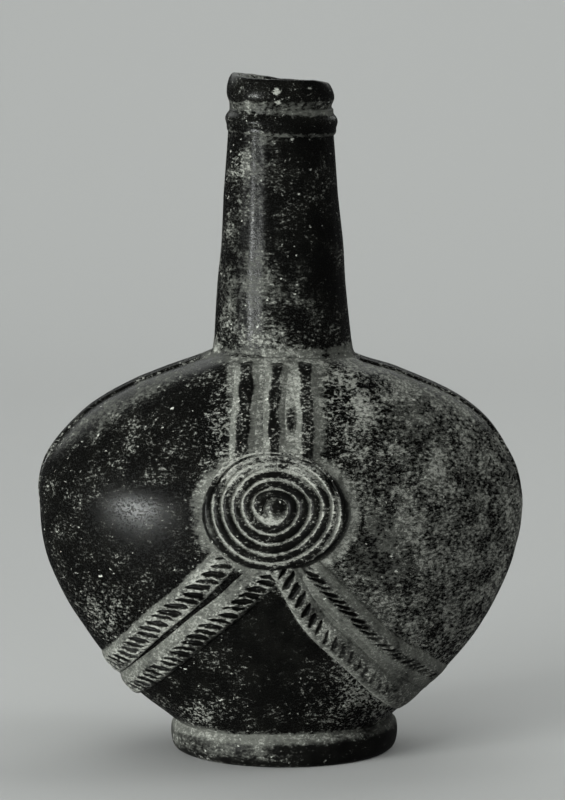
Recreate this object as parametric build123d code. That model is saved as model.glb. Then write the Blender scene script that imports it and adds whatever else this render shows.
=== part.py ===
"""Pilgrim flask of black burnished earthenware.

A flattened body of two moulded halves stands on a ring foot. A tall tapering neck is luted to
its shoulder, with a ring under a rolled lip. Each face carries the same applied relief: a
spiral coil on an oval pad, three hanger straps up to the neck, and notched clay cords that
leave the pad and wrap round the flask's sides.

Sizes are in millimetres. The origin is the centre of the resting face, +Z is up, and the
front face looks along -Y.
"""
from build123d import *
import math
import os

# Body: two half shells
body_half_width = 81.0
body_half_depth = 50.0
widest_height = 81.5
shell_wall = 5.5
floor_thickness = 6.0

# Foot ring
foot_height = 9.3
foot_seat_radius = 35.4
foot_belly_radius = 38.0
foot_belly_height = 4.7
foot_rest_radius = 35.9
foot_rest_width = 5.5
foot_wall_at_seat = 8.0

# Neck tube
neck_seat_height = 134.2
neck_seat_radius = 24.0
neck_base_radius = 22.9
neck_shoulder_height = 205.5
neck_shoulder_radius = 17.5
neck_top_height = 214.6
neck_top_radius = 16.9
neck_wall_at_base = 5.0
seat_lip_depth = 3.0

# Luting coil around the neck's base
luting_reach = 3.6
luting_rise = 4.8
luting_hollow = 0.6

# Neck ring and lip
ring_low_height = 206.8
ring_high_height = 213.9
ring_crest_radius = 18.5
lip_waist_height = 215.9
lip_crest_height = 219.8
lip_crest_radius = 17.7
lip_top_height = 223.2
lip_top_radius = 16.2
mouth_bore_radius = 12.5
mouth_bore_bottom = 206.0
mouth_rim_rounding = 1.3

# Side seam bands
seam_width = 8.6
seam_rise = 0.8
seam_taper_height = 92.0
seam_low_height = 66.0
seam_tip_width = 3.0

# Medallion pad and its spiral coil
medallion_across = -1.5
medallion_height = 86.4
medallion_half_width = 24.2
medallion_half_height = 18.8
medallion_dome_radius = 110.0
medallion_rise = 1.5
medallion_slope_depth = 4.0
medallion_slope_height = 6.0
coil_across = -0.4
coil_up = 1.9
coil_diameter = 2.5
coil_start_radius = 2.3
coil_pitch_across = 3.62
coil_pitch_up = 3.12
coil_quarter_turns = 22

# Hanger straps between medallion and neck, and the pellet between two of them
hanger_width = 5.2
hanger_rise = 1.7
pellet_width = 3.2
pellet_length = 8.4
pellet_rise = 1.0

# Notched clay cords
cord_width = 6.0
cord_rise = 1.9
notch_spacing = 4.0
notch_width = 1.1
notch_floor = 0.8
notch_overhang = 2.0

# One overrun serves every cut, and one angle joins the arcs of every oval
overrun = 1.0
oval_joint_degrees = 45.0

# Levels of the body as shares of height, width and depth, from foot seat to widest level
lower_level_shares = [
    (0.0, 0.0, 0.0),
    (0.064, 0.136, 0.07),
    (0.121, 0.252, 0.145),
    (0.291, 0.50, 0.39),
    (0.461, 0.704, 0.635),
    (0.632, 0.854, 0.825),
    (0.80, 0.955, 0.953),
]
# The same from widest level to neck seat, where the width and depth shares fall to nought
upper_level_shares = [
    (0.0, 1.0, 1.0),
    (0.14, 0.993, 0.975),
    (0.268, 0.965, 0.91),
    (0.421, 0.895, 0.80),
    (0.575, 0.782, 0.654),
    (0.729, 0.596, 0.46),
    (0.85, 0.368, 0.28),
    (0.953, 0.128, 0.108),
    (1.0, 0.0, 0.0),
]

# Places across the medallion, as shares of its half width: top and bottom of each strap
hanger_place_shares = {
    "left": (-0.40, -0.48),
    "middle": (0.0, 0.0),
    "right": (0.40, 0.45),
}
# The pellet's place across the medallion, and up from the medallion to the neck seat
pellet_place_shares = (0.2, 0.352)

# Cord routes: across as a share of the body's half width, up as a share of the height from
# foot seat to widest level. The last point of each lies past the body's side.
cord_route_shares = {
    "left_upper_cord": [(-0.215, 0.875), (-0.405, 0.65), (-0.507, 0.542), (-0.614, 0.406),
                        (-0.71, 0.28), (-0.815, 0.148)],
    "left_lower_cord": [(0.03, 0.83), (-0.098, 0.734), (-0.195, 0.627), (-0.291, 0.536),
                        (-0.369, 0.452), (-0.532, 0.275), (-0.621, 0.176), (-0.716, 0.065)],
    "right_upper_cord": [(0.10, 0.836), (0.215, 0.698), (0.295, 0.598), (0.464, 0.403),
                         (0.573, 0.313), (0.658, 0.22), (0.765, 0.107)],
    "right_lower_cord": [(-0.015, 0.86), (0.042, 0.763), (0.102, 0.634), (0.183, 0.512),
                         (0.268, 0.42), (0.412, 0.245), (0.551, 0.093), (0.642, -0.018)],
}
# Lean of each cord's notches from level, and the share of its route that is notched
notch_lean_degrees = {
    "left_upper_cord": -12.0,
    "left_lower_cord": -14.0,
    "right_upper_cord": -14.0,
    "right_lower_cord": 66.0,
}
notched_route_share = 0.74
# The lower cords meet on a mitre under the medallion
mitre_share = -0.023


def blend(start, end, share):
    """The value that lies a share of the way from start to end."""
    return start + share * (end - start)


def body_levels():
    """Height, half width and half depth of each level of the body, foot seat to neck seat."""
    levels = []
    for rise, width, depth in lower_level_shares:
        levels.append((
            blend(foot_height, widest_height, rise),
            blend(foot_seat_radius, body_half_width, width),
            blend(foot_seat_radius, body_half_depth, depth),
        ))
    for rise, width, depth in upper_level_shares:
        levels.append((
            blend(widest_height, neck_seat_height, rise),
            blend(neck_seat_radius, body_half_width, width),
            blend(neck_seat_radius, body_half_depth, depth),
        ))
    return levels


def depth_at(height):
    """Half depth of the body at a height, between its levels."""
    levels = body_levels()
    for low, high in zip(levels, levels[1:]):
        if height <= high[0]:
            break
    return blend(low[2], high[2], (height - low[0]) / (high[0] - low[0]))


def grown_levels(growth):
    """The body's levels moved out along its own normals; a negative growth moves them in."""
    levels = body_levels()
    moved = []
    for index, (height, half_width, half_depth) in enumerate(levels):
        below = levels[max(index - 1, 0)]
        above = levels[min(index + 1, len(levels) - 1)]
        run = above[0] - below[0]
        width_slope = (above[1] - below[1]) / run
        depth_slope = (above[2] - below[2]) / run
        climb = -growth * width_slope / math.hypot(1, width_slope)
        moved.append((
            height + climb,
            half_width + growth / math.hypot(1, width_slope),
            half_depth + depth_slope * climb + growth * math.hypot(1, depth_slope),
        ))
    return moved


def oval_radii(half_width, half_depth):
    """Radii of the broad and the narrow arcs of a four-centred oval."""
    joint = math.radians(oval_joint_degrees)
    spread = (half_width - half_depth) / (math.sin(joint) + math.cos(joint) - 1)
    narrow = half_depth - spread * (1 - math.cos(joint))
    return narrow + spread, narrow


def oval(half_width, half_depth, height):
    """A level four-centred oval face, its four arcs tangent at their joints."""
    joint = math.radians(oval_joint_degrees)
    narrow = oval_radii(half_width, half_depth)[1]
    x = half_width - narrow + narrow * math.sin(joint)
    y = narrow * math.cos(joint)
    edges = [
        ThreePointArc((-x, -y, height), (0, -half_depth, height), (x, -y, height)),
        ThreePointArc((x, -y, height), (half_width, 0, height), (x, y, height)),
        ThreePointArc((x, y, height), (0, half_depth, height), (-x, y, height)),
        ThreePointArc((-x, y, height), (-half_width, 0, height), (-x, -y, height)),
    ]
    return make_face(edges)


def solid_through(levels):
    """A smooth solid through ovals given as height, half width and half depth."""
    return loft([oval(half_width, half_depth, height) for height, half_width, half_depth in levels])


def cavity_levels():
    """The hollow's levels: the body's, one wall inside, between the floor and the neck seat."""
    floor_radius = foot_seat_radius - shell_wall
    bore_radius = neck_base_radius - neck_wall_at_base
    floor_level = (foot_height + floor_thickness, floor_radius, floor_radius)
    seat_level = (neck_seat_height - seat_lip_depth, bore_radius, bore_radius)
    return [floor_level] + grown_levels(-shell_wall)[2:-1] + [seat_level]


def turned(edges):
    """A solid of revolution about the flask's axis from edges drawn in the XZ plane."""
    return revolve(make_face(edges), axis=Axis.Z)


def at(radius, height):
    """A point of a turned profile."""
    return (radius, 0, height)


def body_shell(body):
    """The hollow body before it is parted into halves."""
    bore_radius = neck_base_radius - neck_wall_at_base
    bore_depth = seat_lip_depth + overrun
    bore_centre = neck_seat_height + overrun - (bore_depth + overrun) / 2
    bore = Pos(0, 0, bore_centre) * Cylinder(bore_radius, bore_depth + overrun)
    return body - solid_through(cavity_levels()) - bore


def foot_ring():
    """The turned foot: a rounded outside, a flat resting face and a sloped inner wall."""
    seat_outer = at(foot_seat_radius, foot_height)
    rest_outer = at(foot_rest_radius, 0)
    rest_inner = at(foot_rest_radius - foot_rest_width, 0)
    seat_inner = at(foot_seat_radius - foot_wall_at_seat, foot_height)
    return turned([
        ThreePointArc(seat_outer, at(foot_belly_radius, foot_belly_height), rest_outer),
        Line(rest_outer, rest_inner),
        Line(rest_inner, seat_inner),
        Line(seat_inner, seat_outer),
    ])


def neck_tube():
    """The tapering neck, with a straight bore where a stopper goes."""
    return turned(Polyline(
        at(neck_base_radius, neck_seat_height),
        at(neck_shoulder_radius, neck_shoulder_height),
        at(neck_top_radius, neck_top_height),
        at(mouth_bore_radius, neck_top_height),
        at(mouth_bore_radius, mouth_bore_bottom),
        at(neck_base_radius - neck_wall_at_base, neck_seat_height),
        close=True,
    ).edges())


def neck_radius_at(height):
    """Outer radius of the neck at a height above its shoulder."""
    share = (height - neck_shoulder_height) / (neck_top_height - neck_shoulder_height)
    return blend(neck_shoulder_radius, neck_top_radius, share)


def neck_ring():
    """The half-round ring luted around the neck below its lip."""
    low = at(neck_radius_at(ring_low_height), ring_low_height)
    high = at(neck_radius_at(ring_high_height), ring_high_height)
    crest = at(ring_crest_radius, (ring_low_height + ring_high_height) / 2)
    return turned([ThreePointArc(low, crest, high), Line(high, low)])


def mouth_lip():
    """The rolled lip on top of the neck, bored to the stopper's size."""
    seat_outer = at(neck_top_radius, neck_top_height)
    waist = at(neck_top_radius, lip_waist_height)
    crest = at(lip_crest_radius, lip_crest_height)
    rim_outer = at(lip_top_radius, lip_top_height)
    rim_inner = at(mouth_bore_radius + mouth_rim_rounding, lip_top_height)
    bore_top = at(mouth_bore_radius, lip_top_height - mouth_rim_rounding)
    seat_inner = at(mouth_bore_radius, neck_top_height)
    return turned([
        Line(seat_outer, waist),
        ThreePointArc(waist, crest, rim_outer),
        Line(rim_outer, rim_inner),
        Line(rim_inner, bore_top),
        Line(bore_top, seat_inner),
        Line(seat_inner, seat_outer),
    ])


def luting_coil(body, neck):
    """The hollow-faced clay fillet that seals the neck to the shoulder."""
    inner_radius = neck_base_radius - neck_wall_at_base / 2
    outer_radius = neck_base_radius + luting_reach
    top_height = neck_seat_height + luting_rise
    low_height = neck_seat_height - seat_lip_depth
    slope_share = luting_rise / (neck_shoulder_height - neck_seat_height)
    top_radius = blend(neck_base_radius, neck_shoulder_radius, slope_share)
    top = at(top_radius, top_height)
    edge = at(outer_radius, neck_seat_height - luting_hollow)
    middle = at((top_radius + outer_radius) / 2 - luting_hollow,
                (top_height + neck_seat_height - luting_hollow) / 2 - luting_hollow)
    ring = turned([
        ThreePointArc(top, middle, edge),
        Line(edge, at(outer_radius, low_height)),
        Line(at(outer_radius, low_height), at(inner_radius, low_height)),
        Line(at(inner_radius, low_height), at(inner_radius, top_height)),
        Line(at(inner_radius, top_height), top),
    ])
    return ring - body - neck


def seam_band(side, body, luting):
    """A flattened clay band over one side seam; side is -1 on the left and 1 on the right."""
    half = seam_width / 2
    half_tip = seam_tip_width / 2
    outline = Plane.YZ * make_face(Polyline(
        (-half, neck_seat_height),
        (half, neck_seat_height),
        (half, seam_taper_height),
        (half_tip, seam_low_height),
        (-half_tip, seam_low_height),
        (-half, seam_taper_height),
        close=True,
    ).edges())
    prism = extrude(outline, amount=side * (body_half_width + seam_rise + overrun))
    return prism & solid_through(grown_levels(seam_rise)) - body - luting


def medallion_frame():
    """The medallion's own plane, from its lower to its upper edge, and the body's bulge there."""
    depth_low = depth_at(medallion_height - medallion_half_height)
    depth_high = depth_at(medallion_height + medallion_half_height)
    lean = math.atan2(depth_low - depth_high, 2 * medallion_half_height)
    chord_depth = (depth_low + depth_high) / 2
    bulge = depth_at(medallion_height) - chord_depth
    plane = Plane(
        origin=(medallion_across, -chord_depth, medallion_height),
        x_dir=(1, 0, 0),
        z_dir=(0, -math.cos(lean), math.sin(lean)),
    )
    return plane, bulge


def dome(crown_height):
    """The ball whose crown shapes the medallion's face, in the medallion's own frame."""
    return Pos(0, 0, crown_height - medallion_dome_radius) * Sphere(medallion_dome_radius)


def medallion_pad(body):
    """The oval pad: sloped sides, a gently domed face, and a back that fits the body."""
    plane, bulge = medallion_frame()
    blank = loft([
        oval(medallion_half_width + medallion_slope_depth,
             medallion_half_height + medallion_slope_depth, -medallion_slope_depth),
        oval(medallion_half_width - medallion_slope_height,
             medallion_half_height - medallion_slope_height, medallion_slope_height),
    ], ruled=True)
    return plane.location * (blank & dome(bulge + medallion_rise)) - body


def on_dome(u, v, crown_height):
    """Carry a point of the crown's tangent plane to the dome, so that circles stay circles."""
    span = (2 * medallion_dome_radius) ** 2
    distance = u * u + v * v
    shrink = span / (span + distance)
    drop = 2 * medallion_dome_radius * (1 - shrink)
    return (u * shrink, v * shrink, crown_height - drop)


def coil_arcs():
    """Quarter turns of the spiral, clockwise and outward: centre, radius and start angle."""
    arcs = []
    start_angle = math.pi - math.radians(oval_joint_degrees)
    centre = None
    for index in range(coil_quarter_turns):
        turns = index / 4
        across = coil_start_radius + coil_pitch_across * turns
        up = coil_start_radius + coil_pitch_up * turns
        radius = oval_radii(across, up)[index % 2]
        if centre is None:
            centre = Vector(coil_across, coil_up + up - radius)
        else:
            toward_joint = Vector(math.cos(start_angle), math.sin(start_angle))
            centre = centre + toward_joint * (arcs[-1][1] - radius)
        arcs.append((centre, radius, start_angle))
        start_angle -= math.pi / 2
    return arcs


def coil_point(arc, share, crown_height):
    """The point a share of the way along one quarter turn, on the dome."""
    centre, radius, start_angle = arc
    angle = start_angle - share * math.pi / 2
    u = centre.X + radius * math.cos(angle)
    v = centre.Y + radius * math.sin(angle)
    return on_dome(u, v, crown_height)


def print_coil_gap(arcs):
    """Measure on points the least gap between neighbouring turns of the coil."""
    samples = 12
    points = [Vector(coil_point(arc, step / samples, 0)) for arc in arcs for step in range(samples)]
    nearest = min(
        (points[one] - points[other]).length
        for one in range(len(points))
        for other in range(one + 3 * samples, len(points))
    )
    print(f"spiral coil: least gap to itself {nearest - coil_diameter:.2f} mm")


def medallion_coil():
    """One unbroken coil of clay wound on the dome, cut flush where it is pressed to the pad."""
    plane, bulge = medallion_frame()
    crown_height = bulge + medallion_rise
    arcs = coil_arcs()
    print_coil_gap(arcs)
    path = Wire([
        ThreePointArc(*(coil_point(arc, share, crown_height) for share in (0, 1 / 2, 1)))
        for arc in arcs
    ])
    section = Plane(origin=path @ 0, z_dir=path % 0) * Circle(coil_diameter / 2)
    return plane.location * (sweep(section, path=path) - dome(crown_height))


def relief(outline, rise, body, both=False):
    """Clay standing a given rise above the body inside an outline drawn on the XZ plane."""
    prism = extrude(outline, amount=body_half_depth + rise + overrun, both=both)
    return prism & solid_through(grown_levels(rise)) - body


def hanger_strap(name, body, luting, pad):
    """A raised strap from the neck's luting down to the medallion."""
    top_share, bottom_share = hanger_place_shares[name]
    top_x = medallion_across + top_share * medallion_half_width
    bottom_x = medallion_across + bottom_share * medallion_half_width
    half = hanger_width / 2
    low_height = medallion_height + medallion_half_height - hanger_width
    outline = Plane.XZ * make_face(Polyline(
        (top_x - half, neck_seat_height),
        (top_x + half, neck_seat_height),
        (bottom_x + half, low_height),
        (bottom_x - half, low_height),
        close=True,
    ).edges())
    return relief(outline, hanger_rise, body) - luting - pad


def hanger_pellet(body):
    """The small flat pellet between the middle and the right strap."""
    across_share, up_share = pellet_place_shares
    x = medallion_across + across_share * medallion_half_width
    z = blend(medallion_height + medallion_half_height, neck_seat_height, up_share)
    outline = Plane.XZ * Pos(x, z) * Rot(0, 0, 90) * SlotOverall(pellet_length, pellet_width)
    return relief(outline, pellet_rise, body)


def cord_route(name):
    """Points of a cord's centre line as seen from the front."""
    return [
        Vector(across * body_half_width, blend(foot_height, widest_height, up))
        for across, up in cord_route_shares[name]
    ]


def side_step(route, index):
    """The unit step to the left of a route at one of its points."""
    before = route[max(index - 1, 0)]
    after = route[min(index + 1, len(route) - 1)]
    along = (after - before).normalized()
    return Vector(-along.Y, along.X)


def cord_outline(name):
    """The strip that a cord covers as seen from the front, ended on the mitre if it is lower."""
    route = cord_route(name)
    half = cord_width / 2
    left = [point + side_step(route, index) * half for index, point in enumerate(route)]
    right = [point - side_step(route, index) * half for index, point in enumerate(route)]
    strip = make_face(Polyline(*left, *reversed(right), close=True).edges())
    if "lower" in name:
        side = 1 if name.startswith("left") else -1
        mitre_x = mitre_share * body_half_width
        beyond = Pos(mitre_x + side * body_half_width / 2, widest_height / 2) * Rectangle(
            body_half_width, widest_height * 2)
        strip = strip - beyond
    return Plane.XZ * strip


def notch_outlines(name):
    """Slots across a cord at even spacing, leaning alike, over the notched part of its route."""
    route = cord_route(name)
    slots = []
    walked = 0
    next_notch = notch_spacing
    whole = sum((after - before).length for before, after in zip(route, route[1:]))
    for before, after in zip(route, route[1:]):
        run = (after - before).length
        while next_notch < min(walked + run, whole * notched_route_share):
            place = before + (after - before) * ((next_notch - walked) / run)
            lean = Rot(0, 0, notch_lean_degrees[name])
            slots.append(Pos(place.X, place.Y) * lean * Rectangle(
                cord_width * notch_overhang, notch_width))
            next_notch += notch_spacing
        walked += run
    return slots


def notched_cord(name, body, pads):
    """One clay cord from pad to pad around the flask's side, notched on both faces."""
    cord = relief(cord_outline(name), cord_rise, body, both=True)
    for pad in pads:
        cord = cord - pad
    floor = solid_through(grown_levels(notch_floor))
    depth = body_half_depth + cord_rise + overrun
    cuts = [extrude(Plane.XZ * slot, amount=depth, both=True) for slot in notch_outlines(name)]
    return cord - (Part() + cuts - floor)


def build():
    """Every piece of the flask under its node's name."""
    body = solid_through(body_levels())
    shell = body_shell(body)
    neck = neck_tube()
    luting = luting_coil(body, neck)
    pad = medallion_pad(body)
    nodes = {
        "front_shell": split(shell, bisect_by=Plane.XZ, keep=Keep.TOP),
        "back_shell": split(shell, bisect_by=Plane.XZ, keep=Keep.BOTTOM),
        "foot_ring": foot_ring(),
        "neck_tube": neck,
        "neck_luting_coil": luting,
        "neck_ring": neck_ring(),
        "mouth_lip": mouth_lip(),
        "left_seam_band": seam_band(-1, body, luting),
        "right_seam_band": seam_band(1, body, luting),
    }
    fronts = {
        "medallion_pad": pad,
        "medallion_coil": medallion_coil(),
        "hanger_pellet": hanger_pellet(body),
    }
    for name in hanger_place_shares:
        fronts[f"hanger_{name}_strap"] = hanger_strap(name, body, luting, pad)
    for name, piece in fronts.items():
        nodes[f"front_{name}"] = piece
        nodes[f"back_{name}"] = mirror(piece, about=Plane.XZ)
    pads = [pad, nodes["back_medallion_pad"]]
    for name in cord_route_shares:
        nodes[name] = notched_cord(name, body, pads)
    return nodes


os.makedirs("parts", exist_ok=True)
for node, shape in build().items():
    export_step(shape, f"parts/{node}.step")
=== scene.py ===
"""Pilgrim flask of burnished blackware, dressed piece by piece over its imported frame.

The flattened body, turned foot, neck and lip, the coiled medallions, hanger straps and notched
cords are each made as clay is shaped by hand: slightly uneven, with soft edges, and with pale
lime left in the hollows. Shapes are worked out in millimetres and stored in metres.
"""
import math

import bmesh
import bpy
import numpy as np
from bpy.props import FloatProperty, FloatVectorProperty, IntProperty, PointerProperty
from bpy.types import Operator, Panel, PropertyGroup
from mathutils import Matrix, Vector


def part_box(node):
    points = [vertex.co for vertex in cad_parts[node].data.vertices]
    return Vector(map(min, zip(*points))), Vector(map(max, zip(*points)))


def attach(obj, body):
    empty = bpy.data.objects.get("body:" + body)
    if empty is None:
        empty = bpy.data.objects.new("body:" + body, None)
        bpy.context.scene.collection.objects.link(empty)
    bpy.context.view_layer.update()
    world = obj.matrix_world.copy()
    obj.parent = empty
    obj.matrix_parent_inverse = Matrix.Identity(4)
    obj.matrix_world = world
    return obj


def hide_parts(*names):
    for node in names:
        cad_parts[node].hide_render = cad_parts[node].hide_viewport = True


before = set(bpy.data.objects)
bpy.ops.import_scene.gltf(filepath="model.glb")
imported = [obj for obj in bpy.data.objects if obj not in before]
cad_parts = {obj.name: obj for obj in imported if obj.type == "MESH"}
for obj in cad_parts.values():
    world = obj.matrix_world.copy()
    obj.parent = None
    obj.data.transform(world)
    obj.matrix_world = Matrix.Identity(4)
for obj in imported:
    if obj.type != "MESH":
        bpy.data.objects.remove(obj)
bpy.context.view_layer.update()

bl_info = {
    "name": "Pilgrim flask",
    "version": (1, 0, 0),
    "blender": (4, 5, 0),
    "location": "View3D > Sidebar > Flask",
    "description": "Builds a burnished blackware pilgrim flask with coiled medallions and notched cords",
    "category": "Add Mesh",
}

MM = 0.001
# How far the thin edge of laid clay dips under the wall, in mm
SUNK = 0.12
BODY_LOW, BODY_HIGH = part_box("front_shell")
FOOT_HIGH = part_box("foot_ring")[1]
LIP_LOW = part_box("mouth_lip")[0]

# Width and depth of the body at rising levels, as shares of the way from foot seat to widest
# level and from there to neck seat
LOWER_LEVELS = (
    (0.0, 0.0, 0.0), (0.064, 0.136, 0.07), (0.121, 0.252, 0.145), (0.291, 0.50, 0.39),
    (0.461, 0.704, 0.635), (0.632, 0.854, 0.825), (0.80, 0.955, 0.953),
)
UPPER_LEVELS = (
    (0.0, 1.0, 1.0), (0.14, 0.993, 0.975), (0.268, 0.965, 0.91), (0.421, 0.895, 0.80),
    (0.575, 0.782, 0.654), (0.729, 0.596, 0.46), (0.85, 0.368, 0.28), (0.953, 0.128, 0.108),
    (1.0, 0.0, 0.0),
)
# Cord routes as seen from the front, as shares of the body's half width and of the height from
# foot seat to widest level
CORD_ROUTES = {
    "left_upper_cord": ((-0.215, 0.875), (-0.405, 0.65), (-0.507, 0.542), (-0.614, 0.406),
                        (-0.71, 0.28), (-0.815, 0.148)),
    "left_lower_cord": ((-0.006, 0.819), (-0.104, 0.741), (-0.201, 0.634), (-0.297, 0.543),
                        (-0.375, 0.459), (-0.538, 0.282), (-0.627, 0.183), (-0.722, 0.072)),
    "right_upper_cord": ((0.10, 0.836), (0.215, 0.698), (0.295, 0.598), (0.464, 0.403),
                         (0.573, 0.313), (0.658, 0.22), (0.765, 0.107)),
    "right_lower_cord": ((-0.015, 0.86), (0.042, 0.763), (0.102, 0.634), (0.183, 0.512),
                         (0.268, 0.42), (0.412, 0.245), (0.551, 0.093), (0.642, -0.018)),
}
# Each cord's notches and clay. Places across a cord are shares of its half width, from the lower (-)
# to the upper (+) edge. Its notches: spacing along it in mm; turn from its run in degrees; lower and
# upper, where they start and stop across it; notch_width, as a share of the usual one; bow, how far
# their middle lies along the cord in mm; longer, how much longer they are by the medallion; faint and
# filled, how much of them smearing and lime hide on the way out. Its clay: ridge, where a raised line
# runs; kept, the share of its height left where it turns round the side; fade, how many mm before that
# the smearing starts; shelf_side and shelf, the side and height in mm of a low shelf of smeared clay,
# towards its neighbour; spread, how wide cord and shelf lie as a share of the cord, and widening, how
# much wider on the way out; crest_lime and bare_lime, the lime between the notches and beyond them.
CORD_TRAITS = ("spacing", "turn", "lower", "upper", "notch_width", "bow", "longer", "faint", "filled",
               "ridge", "kept", "fade", "shelf_side", "shelf", "spread", "widening",
               "crest_lime", "bare_lime")
CORDS = {
    "left_upper_cord": (3.45, 50.0, -0.86, 0.50, 1.0, -0.5, 0.0, 0.0, 0.0,
                        -0.92, 0.12, 15.0, 0, 0.0, 1.0, 0.0, 0.58, 0.30),
    "left_lower_cord": (3.30, 50.0, -0.84, 0.40, 1.0, -0.5, 0.0, 0.0, 0.0,
                        None, 0.10, 13.0, 1, 0.7, 1.27, 0.0, 0.58, 0.30),
    "right_upper_cord": (3.25, 33.0, -0.44, 0.30, 0.9, 0.3, 0.0, 0.5, 0.5,
                         None, 0.05, 24.0, -1, 1.2, 1.36, 0.17, 0.40, 0.24),
    "right_lower_cord": (3.85, 119.0, -0.56, 0.50, 0.78, 0.3, 0.4, 0.68, 0.75,
                         -0.82, 0.05, 34.0, 1, 1.0, 1.36, 0.17, 0.40, 0.24),
}
# The medallion's coil: its distance from its own centre in mm, an eighth of a turn apart, wound
# clockwise from the lower left; its last turn is the medallion's rim
COIL_REACHES = (
    4.3, 5.6, 5.4, 4.75, 4.65, 5.4, 5.95, 7.0, 8.25, 9.2, 8.65, 7.9, 8.1, 9.05, 9.35, 10.25,
    11.5, 12.3, 11.8, 10.8, 11.4, 12.8, 12.65, 13.6, 14.6, 15.5, 14.8, 13.75, 14.55, 16.45, 15.9, 16.85,
    18.2, 18.8, 18.05, 16.3, 17.4, 19.2, 19.1, 19.3, 21.1, 21.6, 20.0, 17.3, 19.0, 21.0, 20.9,
)
# The two sides of the body aren't alike: heights, and how far the left and the right side stand
# inside the even wall there, in mm
SIDE_PARINGS = (
    (10.0, 0.6, 0.6), (13.2, 0.6, 0.95), (16.7, 0.36, 0.6), (20.1, 0.2, 0.65), (23.6, 0.2, 0.6),
    (27.0, 0.2, 0.2), (34.0, 0.3, 0.0), (37.4, 0.5, 0.0), (41.0, 0.7, 0.1), (44.0, 0.65, 0.25),
    (47.6, 0.45, 0.28), (51.0, 0.35, 0.35), (58.0, 0.2, 0.35), (64.0, 0.0, 0.35), (68.6, 0.0, 0.37),
    (72.0, 0.0, 0.06), (75.2, 0.0, -0.16), (78.6, 0.0, -0.3), (82.0, 0.0, -0.45), (85.3, -0.2, -0.24),
    (88.5, -0.5, 0.13), (92.0, -0.5, 0.37), (98.6, -0.4, 0.82), (102.0, -0.1, 1.0), (105.0, 0.24, 0.83),
    (108.6, 0.65, 0.64), (112.0, 0.85, 0.48), (115.3, 0.8, 0.45), (118.6, 0.92, 0.42),
    (122.0, 0.75, 0.42), (125.0, 0.42, 0.4), (128.6, 0.55, 0.4), (131.0, 0.8, 1.1), (134.2, 0.9, 1.5),
)
# The mouth's unevenness: height of the rim over its mean, right, back, left and front in turn
RIM_RISES = (-0.7, -0.8, -0.1, 1.8, 2.8, 1.7, 1.4, 1.0)
# The neck's radii in mm at heights between its seat and the lip, and how far right of the axis the
# hand-drawn neck stands at heights
NECK_HEIGHTS, NECK_RADII = (158.0, 180.0, 205.5), (21.25, 19.45, 17.5)
NECK_LEANS = ((134.0, 0.75), (140.0, 0.7), (145.0, 0.55), (150.0, 0.42), (157.0, 0.32), (162.0, 0.42),
              (167.0, 0.6), (171.0, 0.58), (181.0, 0.2), (186.0, 0.0))
# Soft patches on the front view where lime or film lies thicker (+) or thinner (-): by how much,
# their centre, and their reach, across and up in mm
BODY_LIME = (
    (0.30, (2, 124), (46, 18)), (0.30, (-20, 110), (12, 20)), (0.10, (24, 112), (22, 28)),
    (0.10, (-44, 104), (22, 16)), (-0.30, (32, 74), (14, 18)), (-0.10, (44, 116), (18, 12)),
    (0.26, (-58, 50), (20, 16)), (0.26, (-26, 17), (17, 9)), (0.08, (-70, 90), (14, 30)),
    (-0.22, (2, 46), (22, 18)), (0.16, (18, 22), (26, 12)),
)
NECK_LIME = ((0.16, (-13, 200), (6, 14)), (-0.16, (-14, 165), (9, 22)))
# On the neck the first two film patches are painted highlight streaks, where the lamp's gloss runs down it;
# the third is film
NECK_FILM_AND_HIGHLIGHTS = ((0.20, (-6.3, 194), (2.6, 24)), (0.20, (-11.2, 196), (2.2, 18)), (0.13, (-7, 164), (10, 14)))
# The lamps: place, width and height in metres, power in watts, and whether the clay mirrors it
LAMPS = {
    "key_window": ((-0.95, -0.66, 0.10), (0.12, 0.18), 4.0, True),
    "key_soft": ((-0.90, -0.78, 0.24), (0.6, 0.5), 16.0, False),
    "top_fill": ((-0.15, -0.55, 1.45), (1.4, 1.2), 5.5, False),
    "front_fill": ((-0.8, -1.6, 0.7), (0.9, 0.9), 4.5, False),
    "floor_fill": ((1.1, 0.15, 0.9), (0.6, 0.6), 6.0, False),
    "shoulder_glow": ((-0.2, 1.5, 1.0), (3.0, 0.9), 6.5, True),
    "paper_lamp": ((0.15, 0.95, 1.7), (2.2, 1.2), 15.3, False),
}


def length(label, description, millimetres):
    """A size property, kept in metres and given in millimetres."""
    return FloatProperty(name=label, description=description, default=millimetres * MM, min=0.0,
                         unit="LENGTH", subtype="DISTANCE", precision=4)


def linear(hex_colour):
    """The linear colour of an sRGB hex value."""
    parts = [int(hex_colour[place:place + 2], 16) / 255 for place in (0, 2, 4)]
    return tuple(part / 12.92 if part <= 0.04045 else ((part + 0.055) / 1.055) ** 2.4 for part in parts)


def colour(label, description, hex_colour):
    """A colour property whose default is an sRGB hex value."""
    return FloatVectorProperty(name=label, description=description, subtype="COLOR", size=3,
                               default=linear(hex_colour), min=0.0, max=1.0)


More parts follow.
